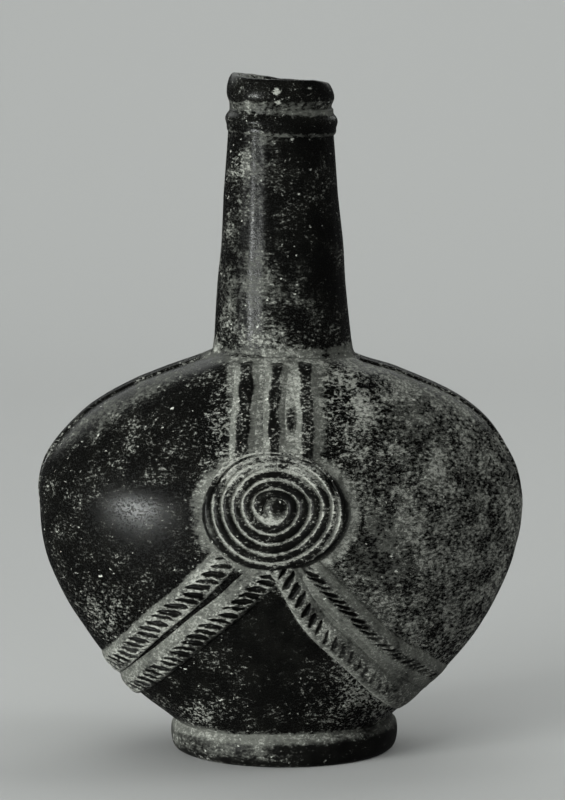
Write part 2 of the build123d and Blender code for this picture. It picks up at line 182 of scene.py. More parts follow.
class FlaskBodySizes(PropertyGroup):
    """Sizes of the body, foot, neck and lip."""
    half_width: length("Half width", "Half the body's width at its widest", BODY_HIGH[0] / MM)
    half_depth: length("Half depth", "Half the body's depth at its deepest", -BODY_LOW[1] / MM)
    widest_height: length("Widest height", "Height of the widest level", 81.5)
    foot_height: length("Foot height", "Height where body and foot meet", FOOT_HIGH[2] / MM)
    foot_seat_radius: length("Foot seat radius", "Body's radius where it meets the foot", 35.4)
    foot_belly_radius: length("Foot belly radius", "The foot's largest radius", FOOT_HIGH[0] / MM)
    neck_seat_height: length("Neck seat height", "Height where body and neck meet", 134.2)
    neck_seat_radius: length("Neck seat radius", "Body's radius where it meets the neck", 24.0)
    neck_base_radius: length("Neck base radius", "The neck's radius at its base", 22.9)
    neck_top_radius: length("Neck top radius", "The neck's radius under the lip", 16.9)
    neck_top_height: length("Neck top height", "Height where neck and lip meet", LIP_LOW[2] / MM)
    bore_radius: length("Bore radius", "Radius of the mouth's straight bore", 12.5)
    wall: length("Wall", "Thickness of the body's wall", 5.5)
    unevenness: length("Unevenness", "How far hand shaping leaves the wall from true", 0.32)


class FlaskReliefSizes(PropertyGroup):
    """Sizes of the applied clay."""
    medallion_across: length("Medallion across", "How far left of the axis the medallion lies", 1.6)
    medallion_height: length("Medallion height", "Height of the medallion's centre", 86.5)
    medallion_half_width: length("Medallion half width", "Half the medallion's width", 22.1)
    medallion_half_height: length("Medallion half height", "Half the medallion's height", 17.3)
    pad_rise: length("Pad rise", "How far the medallion's pad stands over the wall", 1.6)
    coil_across: length("Coil across", "How far left of the axis the coil's centre lies", 1.6)
    coil_height: length("Coil height", "Height of the coil's centre", 89.2)
    coil_groove: length("Coil groove", "Gap between two turns of the coil", 0.62)
    strap_rise: length("Strap rise", "How far a hanger strap stands over the wall", 1.35)
    cord_rise: length("Cord rise", "How far a cord stands over the wall", 2.0)
    cord_width: length("Cord width", "Width of a cord at its foot", 9.0)
    notch_depth: length("Notch depth", "How deep the notches are pressed into a cord", 1.35)
    notch_share: FloatProperty(name="Notch share", description="Share of a notch in its spacing",
                               default=0.94, min=0.1, max=1.2)
    seam_width: length("Seam strip width", "Width of the clay strip over a side seam", 8.6)
    seam_rise: length("Seam strip rise", "How far that strip stands over the wall", 0.75)
    seed: IntProperty(name="Seed", description="Picks the hand's small chances", default=7, min=0)


class FlaskFinish(PropertyGroup):
    """Colours of the fired clay and of what lies on it."""
    clay: colour("Clay", "Black clay fired in smoke", "090908")
    worn_clay: colour("Worn clay", "The same where handling dulled it", "121210")
    lime: colour("Lime", "Pale lime that settled on the clay", "a3a49d")
    lime_dust: colour("Lime dust", "The palest crumbs of lime", "cdcec6")
    # The film grey also paints the sheen on the shoulders and the highlight streaks on the neck
    film_and_sheen: colour("Film", "Thin lime that hands rubbed even", "61625d")
    floor: colour("Floor", "Plain studio paper", "b3b3b3")


def mm(value):
    """A stored size in millimetres."""
    return value / MM


def smooth(low, high, value):
    """A soft step: 0 below low, 1 above high, or the other way round if high is below low."""
    share = np.clip((value - low) / (high - low), 0.0, 1.0)
    return share * share * (3 - 2 * share)


def walked(points):
    """How far along a line of points each of them lies."""
    return np.concatenate([[0.0], np.cumsum(np.linalg.norm(np.diff(points, axis=0), axis=1))])


def evened(lines, step):
    """Places at an even step along the first of some lines, and all the lines' points there."""
    far = walked(lines[0])
    even = np.linspace(0, far[-1], int(far[-1] / step))
    return even, [np.stack([np.interp(even, far, line[:, axis]) for axis in range(3)], axis=1)
                  for line in lines]


def unit(vectors):
    """Vectors brought to a length of 1."""
    return vectors / np.linalg.norm(vectors, axis=-1, keepdims=True)


def curve_through(knots, values):
    """The natural cubic spline through values at rising knots, as a function of the knot."""
    count = len(knots)
    gaps = np.diff(knots)
    slopes = np.diff(values, axis=0) / gaps[:, None]
    system = np.eye(count)
    bends = np.zeros_like(values)
    for row in range(1, count - 1):
        system[row, row - 1:row + 2] = gaps[row - 1], 2 * (gaps[row - 1] + gaps[row]), gaps[row]
        bends[row] = 6 * (slopes[row] - slopes[row - 1])
    bends = np.linalg.solve(system, bends)

    def at(where):
        where = np.clip(np.atleast_1d(where), knots[0], knots[-1])
        span = np.clip(np.searchsorted(knots, where, side="right") - 1, 0, count - 2)
        gap = gaps[span][:, None]
        before = (knots[span + 1] - where)[:, None] / gap
        after = 1 - before
        bent = (before ** 3 - before) * bends[span] + (after ** 3 - after) * bends[span + 1]
        return before * values[span] + after * values[span + 1] + bent * gap ** 2 / 6
    return at


class Wall:
    """The body's outer wall: smooth ovals one above the other, in millimetres.

    A point of an oval is named by the way that the wall faces there: 0 is the front, a quarter
    turn is the right side.
    """

    def __init__(self, sizes):
        low, wide, high = mm(sizes.foot_height), mm(sizes.widest_height), mm(sizes.neck_seat_height)
        foot, neck = mm(sizes.foot_seat_radius), mm(sizes.neck_seat_radius)
        half_width, half_depth = mm(sizes.half_width), mm(sizes.half_depth)
        levels = [(low + rise * (wide - low), foot + across * (half_width - foot),
                   foot + deep * (half_depth - foot)) for rise, across, deep in LOWER_LEVELS]
        levels += [(wide + rise * (high - wide), neck + across * (half_width - neck),
                    neck + deep * (half_depth - neck)) for rise, across, deep in UPPER_LEVELS]
        levels = np.array(levels)
        knots = walked(levels)
        self.profile = curve_through(knots, levels)(np.linspace(0, knots[-1], 4001))
        self.low, self.high = low, high
        self.unevenness = mm(sizes.unevenness)
        heights = self.profile[:, 0]
        self.slopes = np.gradient(self.profile[:, 1:], heights, axis=0)
        # An oval bends most at its sides. The change from broad to narrow bend is gradual.
        turn = np.linspace(0, math.pi / 2, 2001)
        broad = 1 - smooth(math.radians(22), math.radians(68), turn)
        step = turn[1] - turn[0]
        across, along = broad * np.cos(turn), broad * np.sin(turn)
        self.turn = turn
        self.broad = broad
        self.broad_across = np.concatenate([[0], np.cumsum((across[1:] + across[:-1]) / 2 * step)])
        self.broad_along = np.concatenate([[0], np.cumsum((along[1:] + along[:-1]) / 2 * step)])

    def level(self, height):
        """Half width, half depth and their slopes at heights."""
        heights = self.profile[:, 0]
        return [np.interp(height, heights, column) for column in
                (self.profile[:, 1], self.profile[:, 2], self.slopes[:, 0], self.slopes[:, 1])]

    def bends(self, width, depth):
        """The narrow bend's radius, and how much wider the broad bend's is."""
        spread = (width - depth) / (self.broad_across[-1] - self.broad_along[-1])
        return depth - spread * self.broad_along[-1], spread

    def quarter(self, turn, width, depth):
        """A point of the front right quarter, as distances across and towards the front."""
        narrow, spread = self.bends(width, depth)
        across = narrow * np.sin(turn) + spread * np.interp(turn, self.turn, self.broad_across)
        front = (depth - narrow * (1 - np.cos(turn))
                 - spread * np.interp(turn, self.turn, self.broad_along))
        return across, front

    def point(self, facing, height):
        """Points of the wall and their outward normals."""
        facing, height = np.broadcast_arrays(np.asarray(facing, float), np.asarray(height, float))
        turn = np.arctan2(np.abs(np.sin(facing)), np.abs(np.cos(facing)))
        side = np.where(np.sin(facing) < 0, -1.0, 1.0)
        face = np.where(np.cos(facing) < 0, 1.0, -1.0)
        width, depth, width_slope, depth_slope = self.level(height)
        across, front = self.quarter(turn, width, depth)
        across_slope, front_slope = self.quarter(turn, width_slope, depth_slope)
        lean = across_slope * np.sin(turn) + front_slope * np.cos(turn)
        normal = np.stack([side * np.sin(turn), face * np.cos(turn), -lean], axis=-1)
        return np.stack([side * across, face * front, height], axis=-1), unit(normal)

    def facing_of(self, points):
        """The way that the wall faces beside points that lie near it, and how far off they are."""
        across, front, height = np.abs(points[..., 0]), np.abs(points[..., 1]), points[..., 2]
        width, depth, _, _ = self.level(height)
        turn = np.arctan2(across / width ** 2, front / depth ** 2)
        narrow, spread = self.bends(width, depth)
        for _ in range(6):
            on_across, on_front = self.quarter(turn, width, depth)
            bend = narrow + spread * np.interp(turn, self.turn, self.broad)
            slip = (across - on_across) * np.cos(turn) - (front - on_front) * np.sin(turn)
            turn = np.clip(turn + slip / np.maximum(bend, 1.0), 0.0, math.pi / 2)
        on_across, on_front = self.quarter(turn, width, depth)
        off = (across - on_across) * np.sin(turn) + (front - on_front) * np.cos(turn)
        side = np.where(points[..., 0] < 0, -1.0, 1.0)
        facing = np.where(points[..., 1] > 0, math.pi - turn, turn) * side
        return facing, off

    def over(self, points):
        """How far points stand over the even wall, and the wall's points and normals there."""
        facing, off = self.facing_of(points)
        base, normal = self.point(facing, points[..., 2])
        return off * np.linalg.norm(normal[..., :2], axis=-1), base, normal

    def swell(self, points):
        """How far hand shaping lifts the wall at points."""
        x, y, z = points[..., 0], points[..., 1], points[..., 2]
        waves = (np.sin(x / 13.1 + z / 17.3 + 0.4) + np.sin(z / 9.7 - y / 15.1 + 2.1)
                 + np.sin((x + y) / 10.3 - z / 21.0 + 4.0) + np.sin(x / 19.9 - z / 11.9 + 1.2)) / 4
        ends = smooth(self.low, self.low + 14, z) * smooth(self.high, self.high - 14, z)
        # The seams are pared down before their strips go on
        seam = smooth(11.0, 4.0, np.abs(y)) * smooth(62.0, 84.0, z) * smooth(self.high, self.high - 1.5, z)
        side = smooth(30.0, 12.0, np.abs(y)) * smooth(14.0, 30.0, np.abs(x))
        heights, left, right = np.array(SIDE_PARINGS).T
        pared = np.where(x < 0, np.interp(z, heights, left), np.interp(z, heights, right))
        return (self.unevenness * waves * ends - 0.4 * seam - side * pared
                - 0.4 * seam * smooth(118, 128, z))

    def seat(self, points, rise):
        """Points moved along the wall's normals until they stand a rise over the shaped wall."""
        points = np.array(points, float)
        for _ in range(3):
            over, base, normal = self.over(points)
            points += (rise + self.swell(base) - over)[..., None] * normal
        return points, normal

    def front(self, across, height):
        """Points of the front wall seen at places across and up."""
        across, height = np.broadcast_arrays(np.asarray(across, float), np.asarray(height, float))
        width, depth, _, _ = self.level(height)
        low = np.zeros(across.shape)
        high = np.full(across.shape, math.pi / 2)
        for _ in range(40):
            middle = (low + high) / 2
            short = self.quarter(middle, width, depth)[0] < np.abs(across)
            low, high = np.where(short, middle, low), np.where(short, high, middle)
        return self.point(np.sign(across) * (low + high) / 2, height)


def mirrored(points):
    """Points of the front carried to the back."""
    return np.asarray(points) * np.array([1.0, -1.0, 1.0])


def loft(rings, around=False):
    """One closed skin through rings of points: the last ring joins the first, or ends are capped."""
    rings = np.asarray(rings, float)
    count, points = rings.shape[:2]
    rows = count if around else count - 1
    near = np.arange(points)
    far = (near + 1) % points
    faces = []
    for row in range(rows):
        here, there = row * points, (row + 1) % count * points
        faces.append(np.stack([here + near, here + far, there + far, there + near], axis=1))
    faces = [tuple(face) for face in np.concatenate(faces).tolist()]
    places = rings.reshape(-1, 3)
    if not around:
        for ring, start in ((rings[0], 0), (rings[-1], (count - 1) * points)):
            hub = len(places)
            places = np.vstack([places, ring.mean(axis=0)])
            faces += [(start + int(one), start + int(other), hub) for one, other in zip(near, far)]
    return places, faces


def store(mesh, values):
    """Keep named values at a mesh's points."""
    for label, numbers in values.items():
        numbers = np.asarray(numbers, float)
        kind, place = ("FLOAT_VECTOR", "vector") if numbers.ndim == 2 else ("FLOAT", "value")
        mesh.attributes.new(label, kind, "POINT").data.foreach_set(place, numbers.ravel())


def stored(mesh, label):
    """The numbers kept at a mesh's points under a name, which are then let go."""
    numbers = np.empty(len(mesh.vertices))
    mesh.attributes[label].data.foreach_get("value", numbers)
    mesh.attributes.remove(mesh.attributes[label])
    return numbers


def mesh_of(name, places, faces, values=None):
    """A smooth closed mesh from points in millimetres, its faces outward."""
    mesh = bpy.data.meshes.new(name)
    mesh.from_pydata((np.asarray(places) * MM).tolist(), [], faces)
    store(mesh, values or {})
    shape = bmesh.new()
    shape.from_mesh(mesh)
    bmesh.ops.remove_doubles(shape, verts=shape.verts, dist=0.002 * MM)
    bmesh.ops.recalc_face_normals(shape, faces=shape.faces)
    shape.to_mesh(mesh)
    shape.free()
    mesh.polygons.foreach_set("use_smooth", [True] * len(mesh.polygons))
    return mesh


def places_of(mesh):
    """A mesh's points in millimetres."""
    flat = np.empty(len(mesh.vertices) * 3)
    mesh.vertices.foreach_get("co", flat)
    return flat.reshape(-1, 3) / MM


def joined(parts):
    """Several skins as one list of points and one of faces."""
    places, faces = [], []
    count = 0
    for part_places, part_faces in parts:
        places.append(np.asarray(part_places))
        faces += [tuple(count + corner for corner in face) for face in part_faces]
        count += len(part_places)
    return np.vstack(places), faces


def piece(name, mesh, lime, film_and_sheen, slot, *nodes):
    """Set one finished piece in the frame: its lime and its thin film with any painted sheen, finish, body,
    slot and CAD nodes.
    """
    count = len(mesh.vertices)
    store(mesh, {"lime": np.clip(lime, 0.0, 1.0) * np.ones(count),
                 "film_and_sheen": np.clip(film_and_sheen, 0.0, 1.0) * np.ones(count)})
    mesh.name = name
    mesh.materials.clear()
    mesh.materials.append(finish_of(slot))
    made = bpy.data.objects.new(name, mesh)
    bpy.context.scene.collection.objects.link(made)
    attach(made, "root")
    if nodes:
        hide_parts(*nodes)
    return made


def add_node(tree, kind, feeds=None, **settings):
    """Add a node with its settings, and link or fill its inputs by their identifiers."""
    node = tree.nodes.new(kind)
    for setting, value in settings.items():
        setattr(node, setting, value)
    for place, value in (feeds or {}).items():
        socket = next(socket for socket in node.inputs if socket.identifier == place)
        if isinstance(value, bpy.types.NodeSocket):
            tree.links.new(value, socket)
        else:
            socket.default_value = value
    return node


def output_of(node, place):
    """The output of a node that has a given identifier."""
    return next(socket for socket in node.outputs if socket.identifier == place)


def maths(tree, operation, first, second=0.0, third=0.0):
    """A calculation in a node tree."""
    feeds = {"Value": first, "Value_001": second, "Value_002": third}
    return add_node(tree, "ShaderNodeMath", feeds, operation=operation).outputs[0]


def vectors(tree, operation, first, second):
    """A calculation with vectors in a node tree; the second value is a number when it scales."""
    feeds = {"Vector": first, "Scale" if operation == "SCALE" else "Vector_001": second}
    node = add_node(tree, "ShaderNodeVectorMath", feeds, operation=operation)
    return output_of(node, "Value" if operation == "DOT_PRODUCT" else "Vector")


def shorthands(tree):
    """A tree's sums, differences, products and greatest values, and a pattern swung round 0."""
    def chained(operation):
        def result(first, *others):
            for other in others:
                first = maths(tree, operation, first, other)
            return first
        return result

    def swung(pattern, width):
        return maths(tree, "MULTIPLY_ADD", pattern, width, -width / 2)
    return *map(chained, ("ADD", "SUBTRACT", "MULTIPLY", "MAXIMUM")), swung


def grow(name, mesh, tree, inputs):
    """Run a Geometry Nodes tree on a mesh and give back the plain mesh that it makes."""
    carrier = bpy.data.objects.new(name, mesh)
    bpy.context.scene.collection.objects.link(carrier)
    modifier = carrier.modifiers.new(tree.name, "NODES")
    modifier.node_group = tree
    for socket in tree.interface.items_tree:
        if socket.name in inputs:
            modifier[socket.identifier] = inputs[socket.name]
    evaluated = carrier.evaluated_get(bpy.context.evaluated_depsgraph_get())
    plain = bpy.data.meshes.new_from_object(evaluated)
    bpy.data.objects.remove(carrier)
    bpy.data.meshes.remove(mesh)
    return plain


def new_tree(name, inputs):
    """An empty Geometry Nodes tree with named inputs; gives the tree and its input sockets."""
    tree = bpy.data.node_groups.new(name, "GeometryNodeTree")
    tree.interface.new_socket("Geometry", in_out="INPUT", socket_type="NodeSocketGeometry")
    for label, kind in inputs:
        tree.interface.new_socket(label, in_out="INPUT", socket_type=kind)
    tree.interface.new_socket("Geometry", in_out="OUTPUT", socket_type="NodeSocketGeometry")
    entry = tree.nodes.new("NodeGroupInput")
    return tree, {socket.name: socket for socket in entry.outputs if socket.name}


def end_tree(tree, shape, material):
    """Close a tree with realised, smooth, finished geometry."""
    real = add_node(tree, "GeometryNodeRealizeInstances", {"Geometry": shape}).outputs[0]
    soft = add_node(tree, "GeometryNodeSetShadeSmooth", {"Geometry": real}).outputs[0]
    dressed = add_node(tree, "GeometryNodeSetMaterial", {"Geometry": soft, "Material": material})
    out = tree.nodes.new("NodeGroupOutput")
    tree.links.new(dressed.outputs[0], out.inputs[0])


def polyline(name, points, values):
    """A mesh of points joined in a row, with named values at its points."""
    mesh = bpy.data.meshes.new(name)
    rows = [(at, at + 1) for at in range(len(points) - 1)]
    mesh.from_pydata((np.asarray(points) * MM).tolist(), rows, [])
    store(mesh, values)
    return mesh


def per_mm(size):
    """The scale of a pattern whose features are a given size in millimetres."""
    return 1 / (size * MM)


def fired_clay(name, shine, wear, grain_size, lime_softness):
    """Black clay, fired in smoke and rubbed with a stone, with lime settled on it.

    The stone leaves a low gloss in narrow strokes. Lime is matt and pale: it fills hollows, thins
    out to a grey wash with torn edges, stays as crumbs on the open wall, and round the relief is
    rubbed to an even film. The film's grey also paints sheen on the shoulders and highlight streaks
    on the neck.
    """
    finish = bpy.context.scene.flask_finish
    black, worn, lime_grey, dust, film_and_sheen_grey = [
        (*getattr(finish, label), 1.0) for label in ("clay", "worn_clay", "lime", "lime_dust", "film_and_sheen")]
    material = bpy.data.materials.new(name)
    material.use_nodes = True
    tree = material.node_tree
    tree.nodes.clear()
    plus, minus, times, greatest, swung = shorthands(tree)
    place = add_node(tree, "ShaderNodeTexCoord").outputs["Object"]
    lime, film_and_sheen = [add_node(tree, "ShaderNodeAttribute", attribute_name=label).outputs["Fac"]
                  for label in ("lime", "film_and_sheen")]

    def noise(size, detail, roughness=0.6, stretch=(1.0, 1.0, 1.0), warp=0.0):
        spread = add_node(tree, "ShaderNodeMapping", {"Vector": place, "Scale": stretch}).outputs[0]
        feeds = {"Vector": spread, "Scale": per_mm(size), "Detail": detail, "Roughness": roughness,
                 "Distortion": warp}
        return add_node(tree, "ShaderNodeTexNoise", feeds).outputs["Fac"]

    def ramp(value, low, high, start=0.0, end=1.0):
        feeds = {"Value": value, "From Min": low, "From Max": high, "To Min": start, "To Max": end}
        return add_node(tree, "ShaderNodeMapRange", feeds, interpolation_type="SMOOTHSTEP").outputs[0]

    def mix(share, first, second):
        feeds = {"Factor_Float": share, "A_Color": first, "B_Color": second}
        return output_of(add_node(tree, "ShaderNodeMix", feeds, data_type="RGBA"), "Result_Color")

    patches = noise(9.0, 5.0, 0.62)
    mottle = noise(grain_size, 9.0, 0.74, (0.85, 0.85, 1.45), 0.35)
    grain = noise(0.5, 3.0, 0.65)
    # Settled lime: the piece's own share of it, torn by mottling and by grain
    cover = plus(lime, swung(mottle, 3.0), swung(patches, 1.2), swung(grain, 0.9))
    settled = ramp(cover, 0.5 - lime_softness, 0.5 + lime_softness)
    depth = ramp(cover, 0.5, 1.2, 0.42, 1.0)
    # Thin film: a grey veil that hands have rubbed even, torn where it is thinnest; it also carries the
    # painted sheen on the shoulders and the painted highlight streaks on the neck
    veil_and_sheen = plus(film_and_sheen, swung(mottle, 2.6), swung(patches, 1.6))
    veil_and_sheen = times(ramp(veil_and_sheen, 0.1, 0.95), ramp(film_and_sheen, 0.0, 0.15))
    # Crumbs: torn pale specks, in some cells of a small and of a wider scatter
    drift = add_node(tree, "ShaderNodeTexNoise", {
        "Vector": place, "Scale": per_mm(1.1), "Detail": 3.0, "Roughness": 0.7}).outputs["Color"]
    drift = vectors(tree, "SCALE", vectors(tree, "SUBTRACT", drift, (0.5, 0.5, 0.5)), 2.4 * MM)
    torn_place = add_node(tree, "ShaderNodeMapping", {
        "Vector": vectors(tree, "ADD", place, drift), "Rotation": (0.0, -0.42, 0.0),
        "Scale": (1.5, 1.5, 0.62)}, vector_type="TEXTURE").outputs[0]
    fleck = 0.0
    for size, bare_share, reach in ((1.9, 0.62, 0.20), (4.6, 0.70, 0.17)):
        scatter = add_node(tree, "ShaderNodeTexVoronoi", {"Vector": torn_place, "Scale": per_mm(size)})
        chosen = ramp(scatter.outputs["Color"], bare_share, bare_share + 0.05)
        near = minus(times(mottle, reach * 2.4), reach * 0.55)
        crumb = ramp(minus(near, scatter.outputs["Distance"]), 0.0, 0.05)
        fleck = greatest(fleck, times(chosen, crumb))
    fleck = times(fleck, ramp(lime, 0.0, 0.12))

    clay = mix(ramp(patches, 0.4, 0.65), black, worn)
    pale = mix(0.6, mix(ramp(grain, 0.35, 0.75), lime_grey, dust), lime_grey)
    body = mix(times(settled, depth), mix(veil_and_sheen, clay, film_and_sheen_grey), pale)
    body = mix(times(fleck, 0.85), body, dust)

    # The stone's gloss is broken by pits and lost under lime, and its strokes stand a little proud
    pits = maths(tree, "MULTIPLY_ADD", mottle, 0.6, times(grain, 0.4))
    gloss = ramp(pits, 0.50, 0.58, shine, shine + wear)
    rough = greatest(gloss, ramp(greatest(settled, fleck, veil_and_sheen), 0.0, 0.8, shine, 0.88))
    strokes = noise(1.6, 3.0, 0.6, (0.45, 0.45, 1.1))
    lift = plus(maths(tree, "MULTIPLY_ADD", settled, 0.5, times(grain, 0.4)),
                times(strokes, 0.12), times(mottle, 0.4))
    bump = add_node(tree, "ShaderNodeBump", {"Strength": 0.5, "Distance": 0.2 * MM, "Height": lift})
    shader = add_node(tree, "ShaderNodeBsdfPrincipled", {
        "Base Color": body, "Roughness": rough, "Normal": bump.outputs[0],
        "IOR": 1.5, "Specular IOR Level": 0.35})
    out = add_node(tree, "ShaderNodeOutputMaterial")
    tree.links.new(shader.outputs[0], out.inputs["Surface"])
    return material


def finish_of(slot):
    """The finish of a slot, made when it is first asked for."""
    # Wall, neck and lip: rubbed longest with the stone, so the clearest gloss. Relief: rubbed on its
    # crests only. Foot: lightly rubbed and worn dull.
    name, *settings = {
        "burnished_blackware": ("stone_burnished_black_clay", 0.22, 0.40, 1.35, 0.09),
        "applied_relief_clay": ("crest_rubbed_relief_clay", 0.34, 0.16, 1.1, 0.12),
        "foot_blackware": ("worn_dull_foot_clay", 0.40, 0.16, 1.4, 0.12),
    }[slot]
    return bpy.data.materials.get(name) or fired_clay(name, *settings)


def cord_path(wall, name):
    """Half of a cord's middle line, from the medallion to the side seam, and its normals."""
    sizes = bpy.context.scene.flask_body
    width, low, wide = mm(sizes.half_width), mm(sizes.foot_height), mm(sizes.widest_height)
    route = np.array([(across * width, low + up * (wide - low)) for across, up in CORD_ROUTES[name]])
    knots = walked(route)
    line = curve_through(knots, route)
    # Between two of these steps the route leaves the front view; that place is closed in on
    steps = 3999
    reach = line(np.linspace(0, knots[-1], steps + 1))
    inside = np.abs(reach[:, 0]) < wall.level(reach[:, 1])[0]
    leaves = np.argmin(inside)
    low_end, high_end = knots[-1] * (leaves - 1) / steps, knots[-1] * leaves / steps
    for _ in range(40):
        middle = (low_end + high_end) / 2
        x, z = line(middle)[0]
        if abs(x) < wall.level(z)[0]:
            low_end = middle
        else:
            high_end = middle
    share = np.linspace(0, 1, 900)
    seen = line(low_end * (1 - (1 - share) ** 2))
    points, _ = wall.front(seen[:, 0], seen[:, 1])
    points[-1, 1] = 0.0
    _, (points,) = evened([points], 0.5)
    return wall.seat(points, 0.0)


def whole_path(points, normals):
    """A half path carried on round the side to the back, with its normals and side steps."""
    points = np.vstack([points, mirrored(points)[::-1][1:]])
    normals = np.vstack([normals, mirrored(normals)[::-1][1:]])
    tangents = np.gradient(points, axis=0)
    tangents -= (tangents * normals).sum(axis=1, keepdims=True) * normals
    return points, normals, np.cross(normals, unit(tangents))


def strip(wall, points, side_steps, half_width, profile, columns=25, sunk=0.9):
    """A strip of clay laid on the wall: rise is profile(place along, place across in -1 to 1)."""
    half_width = np.broadcast_to(half_width, len(points))

    def places(across):
        return points[:, None, :] + half_width[:, None, None] * across[None, :, None] * side_steps[:, None, :]

    across = np.linspace(-1, 1, columns)
    along = np.linspace(0, 1, len(points))
    grid, edges = places(across), places(np.array([1.0, -1.0]))
    rise = profile(along[:, None], np.broadcast_to(across[None, :], grid.shape[:2]))
    top, _ = wall.seat(grid, rise)
    under, _ = wall.seat(edges, np.full(edges.shape[:2], -sunk))
    return np.concatenate([top, under], axis=1)


def island(wall, centre, half_width, half_height, profile, rings, spokes, reach=1.16, sunk=0.9):
    """An oval of clay laid on the front wall: rise is profile(share of the way out, bearing)."""
    out = np.linspace(0, reach, rings)[1:, None]
    bearing = np.linspace(0, 2 * math.pi, spokes, endpoint=False)[None, :]
    x = centre[0] + half_width * out * np.cos(bearing)
    z = centre[1] + half_height * out * np.sin(bearing)
    base, _ = wall.front(x, z)
    rise = profile(np.broadcast_to(out, x.shape), np.broadcast_to(bearing, x.shape))
    top, _ = wall.seat(base, rise)
    under, _ = wall.seat(base[-1:], np.full((1, spokes), -sunk))
    return np.concatenate([top, under], axis=0)


def about_axis(bearing, radius, height, right=0.0):
    """Points round the axis, or round an upright line to the right of it."""
    radius, height, bearing = np.broadcast_arrays(radius, height, bearing)
    return np.stack([radius * np.cos(bearing) + right, radius * np.sin(bearing), height], axis=-1)


def turned(profile, shift, spokes=144):
    """A turned ring: profile points (radius, height) carried round the axis and shifted by hand."""
    profile = np.asarray(profile, float)
    bearing = np.linspace(0, 2 * math.pi, spokes, endpoint=False)[:, None]
    return about_axis(bearing, *shift(bearing, profile[None, :, 0], profile[None, :, 1]))


def rounded(points, step):
    """A profile's points joined by a smooth curve and set out at an even step."""
    points = np.asarray(points, float)
    knots = walked(points)
    return curve_through(knots, points)(np.linspace(0, knots[-1], max(int(knots[-1] / step), 4)))


def nearest(points, line):
    """Distance from each point to the nearest point of a line of points."""
    best = np.empty(len(points))
    for start in range(0, len(points), 4000):
        part = points[start:start + 4000]
        gaps = ((part[:, None, :] - line[None, :, :]) ** 2).sum(axis=2)
        best[start:start + 4000] = np.sqrt(gaps.min(axis=1))
    return best


def bell(x, z, centre, reach):
    """A soft patch on the front view: 1 at its centre, falling to 0 past its reach."""
    out = np.hypot((x - centre[0]) / reach[0], (z - centre[1]) / reach[1])
    return smooth(1.0, 0.0, out)


def patched(x, z, patches):
    """What soft patches add up to at places on the front view."""
    return sum(strength * bell(x, z, centre, reach) for strength, centre, reach in patches)


def settled_lime(wall, points):
    """The share of lime and of thin film on the open wall and on low clay at points; the film also paints
    sheen on the shoulders.
    """
    relief = bpy.context.scene.flask_relief
    x, y, z = points[:, 0], points[:, 1], points[:, 2]
    cx, cz = -mm(relief.medallion_across), mm(relief.medallion_height)
    out = np.hypot((x - cx) / mm(relief.medallion_half_width), (z - cz) / mm(relief.medallion_half_height))
    lime = 0.11 + 0.25 * smooth(6.0, 36.0, x) + patched(x, z, BODY_LIME)
    film_and_sheen = 0.44 * smooth(8.0, 34.0, x) * smooth(20.0, 50.0, z)
    # Round the medallions
    off_seam = np.abs(y)
    beside = smooth(-3, 6, off_seam)
    film_and_sheen = np.maximum(film_and_sheen, (0.8 + 0.3 * smooth(-6, 14, x)) * smooth(1.36, 1.13, out) * beside)
    lime = np.maximum(lime, (0.26 + 0.26 * smooth(-10, 14, x)) * smooth(1.44, 1.16, out) * beside)
    # Between and beside the straps
    hanger = smooth(18.5, 13.5, np.abs(x + 1.2)) * smooth(98, 103, z)
    film_and_sheen = np.maximum(film_and_sheen, 0.75 * hanger)
    lime = np.maximum(lime, 0.42 * hanger)
    # Along the cords; the lower ones stand clear of the wall below them
    lines = {}
    for name in CORD_ROUTES:
        half, _ = cord_path(wall, name)
        lines[name] = nearest(points, np.vstack([half, mirrored(half)])[::2])
        limit = 4.8 if name.endswith("lower_cord") else 5.3
        film_and_sheen = np.maximum(film_and_sheen, 0.85 * smooth(limit, limit - 1.0, lines[name]))
    # Smeared over between the two right cords, and darker between the two left ones, with less lime and film
    # there
    right = smooth(13.5, 11.5, lines["right_upper_cord"] + lines["right_lower_cord"]) * (x > 2)
    left = smooth(13.0, 11.0, lines["left_upper_cord"] + lines["left_lower_cord"]) * smooth(-13, -18, x)
    left *= smooth(6.1, 5.6, lines["left_upper_cord"])
    film_and_sheen = np.maximum(film_and_sheen, 0.85 * right) * (1 - 0.9 * left)
    lime = lime * (1 - 0.7 * np.maximum(left, right))
    # Where the neck and the foot are luted on
    lime = np.maximum(lime, 0.22 * smooth(wall.high - 6.0, wall.high - 1.5, z))
    film_and_sheen = np.maximum(film_and_sheen, 0.5 * smooth(wall.high - 3.5, wall.high - 1.2, z))
    film_and_sheen = np.maximum(film_and_sheen, 0.8 * smooth(wall.low + 3.4, wall.low + 0.8, z))
    # Painted sheen on the shoulders, beside the seam strips: a grey film band stands for the gloss that they
    # reflect
    shoulder = smooth(96, 108, z) * smooth(25, 15, off_seam) * smooth(4.5, 8.5, off_seam)
    film_and_sheen = np.maximum(film_and_sheen, shoulder * np.where(x < 0, 0.34, 0.5))
    return np.clip(lime, 0, 1), np.clip(film_and_sheen, 0, 1)


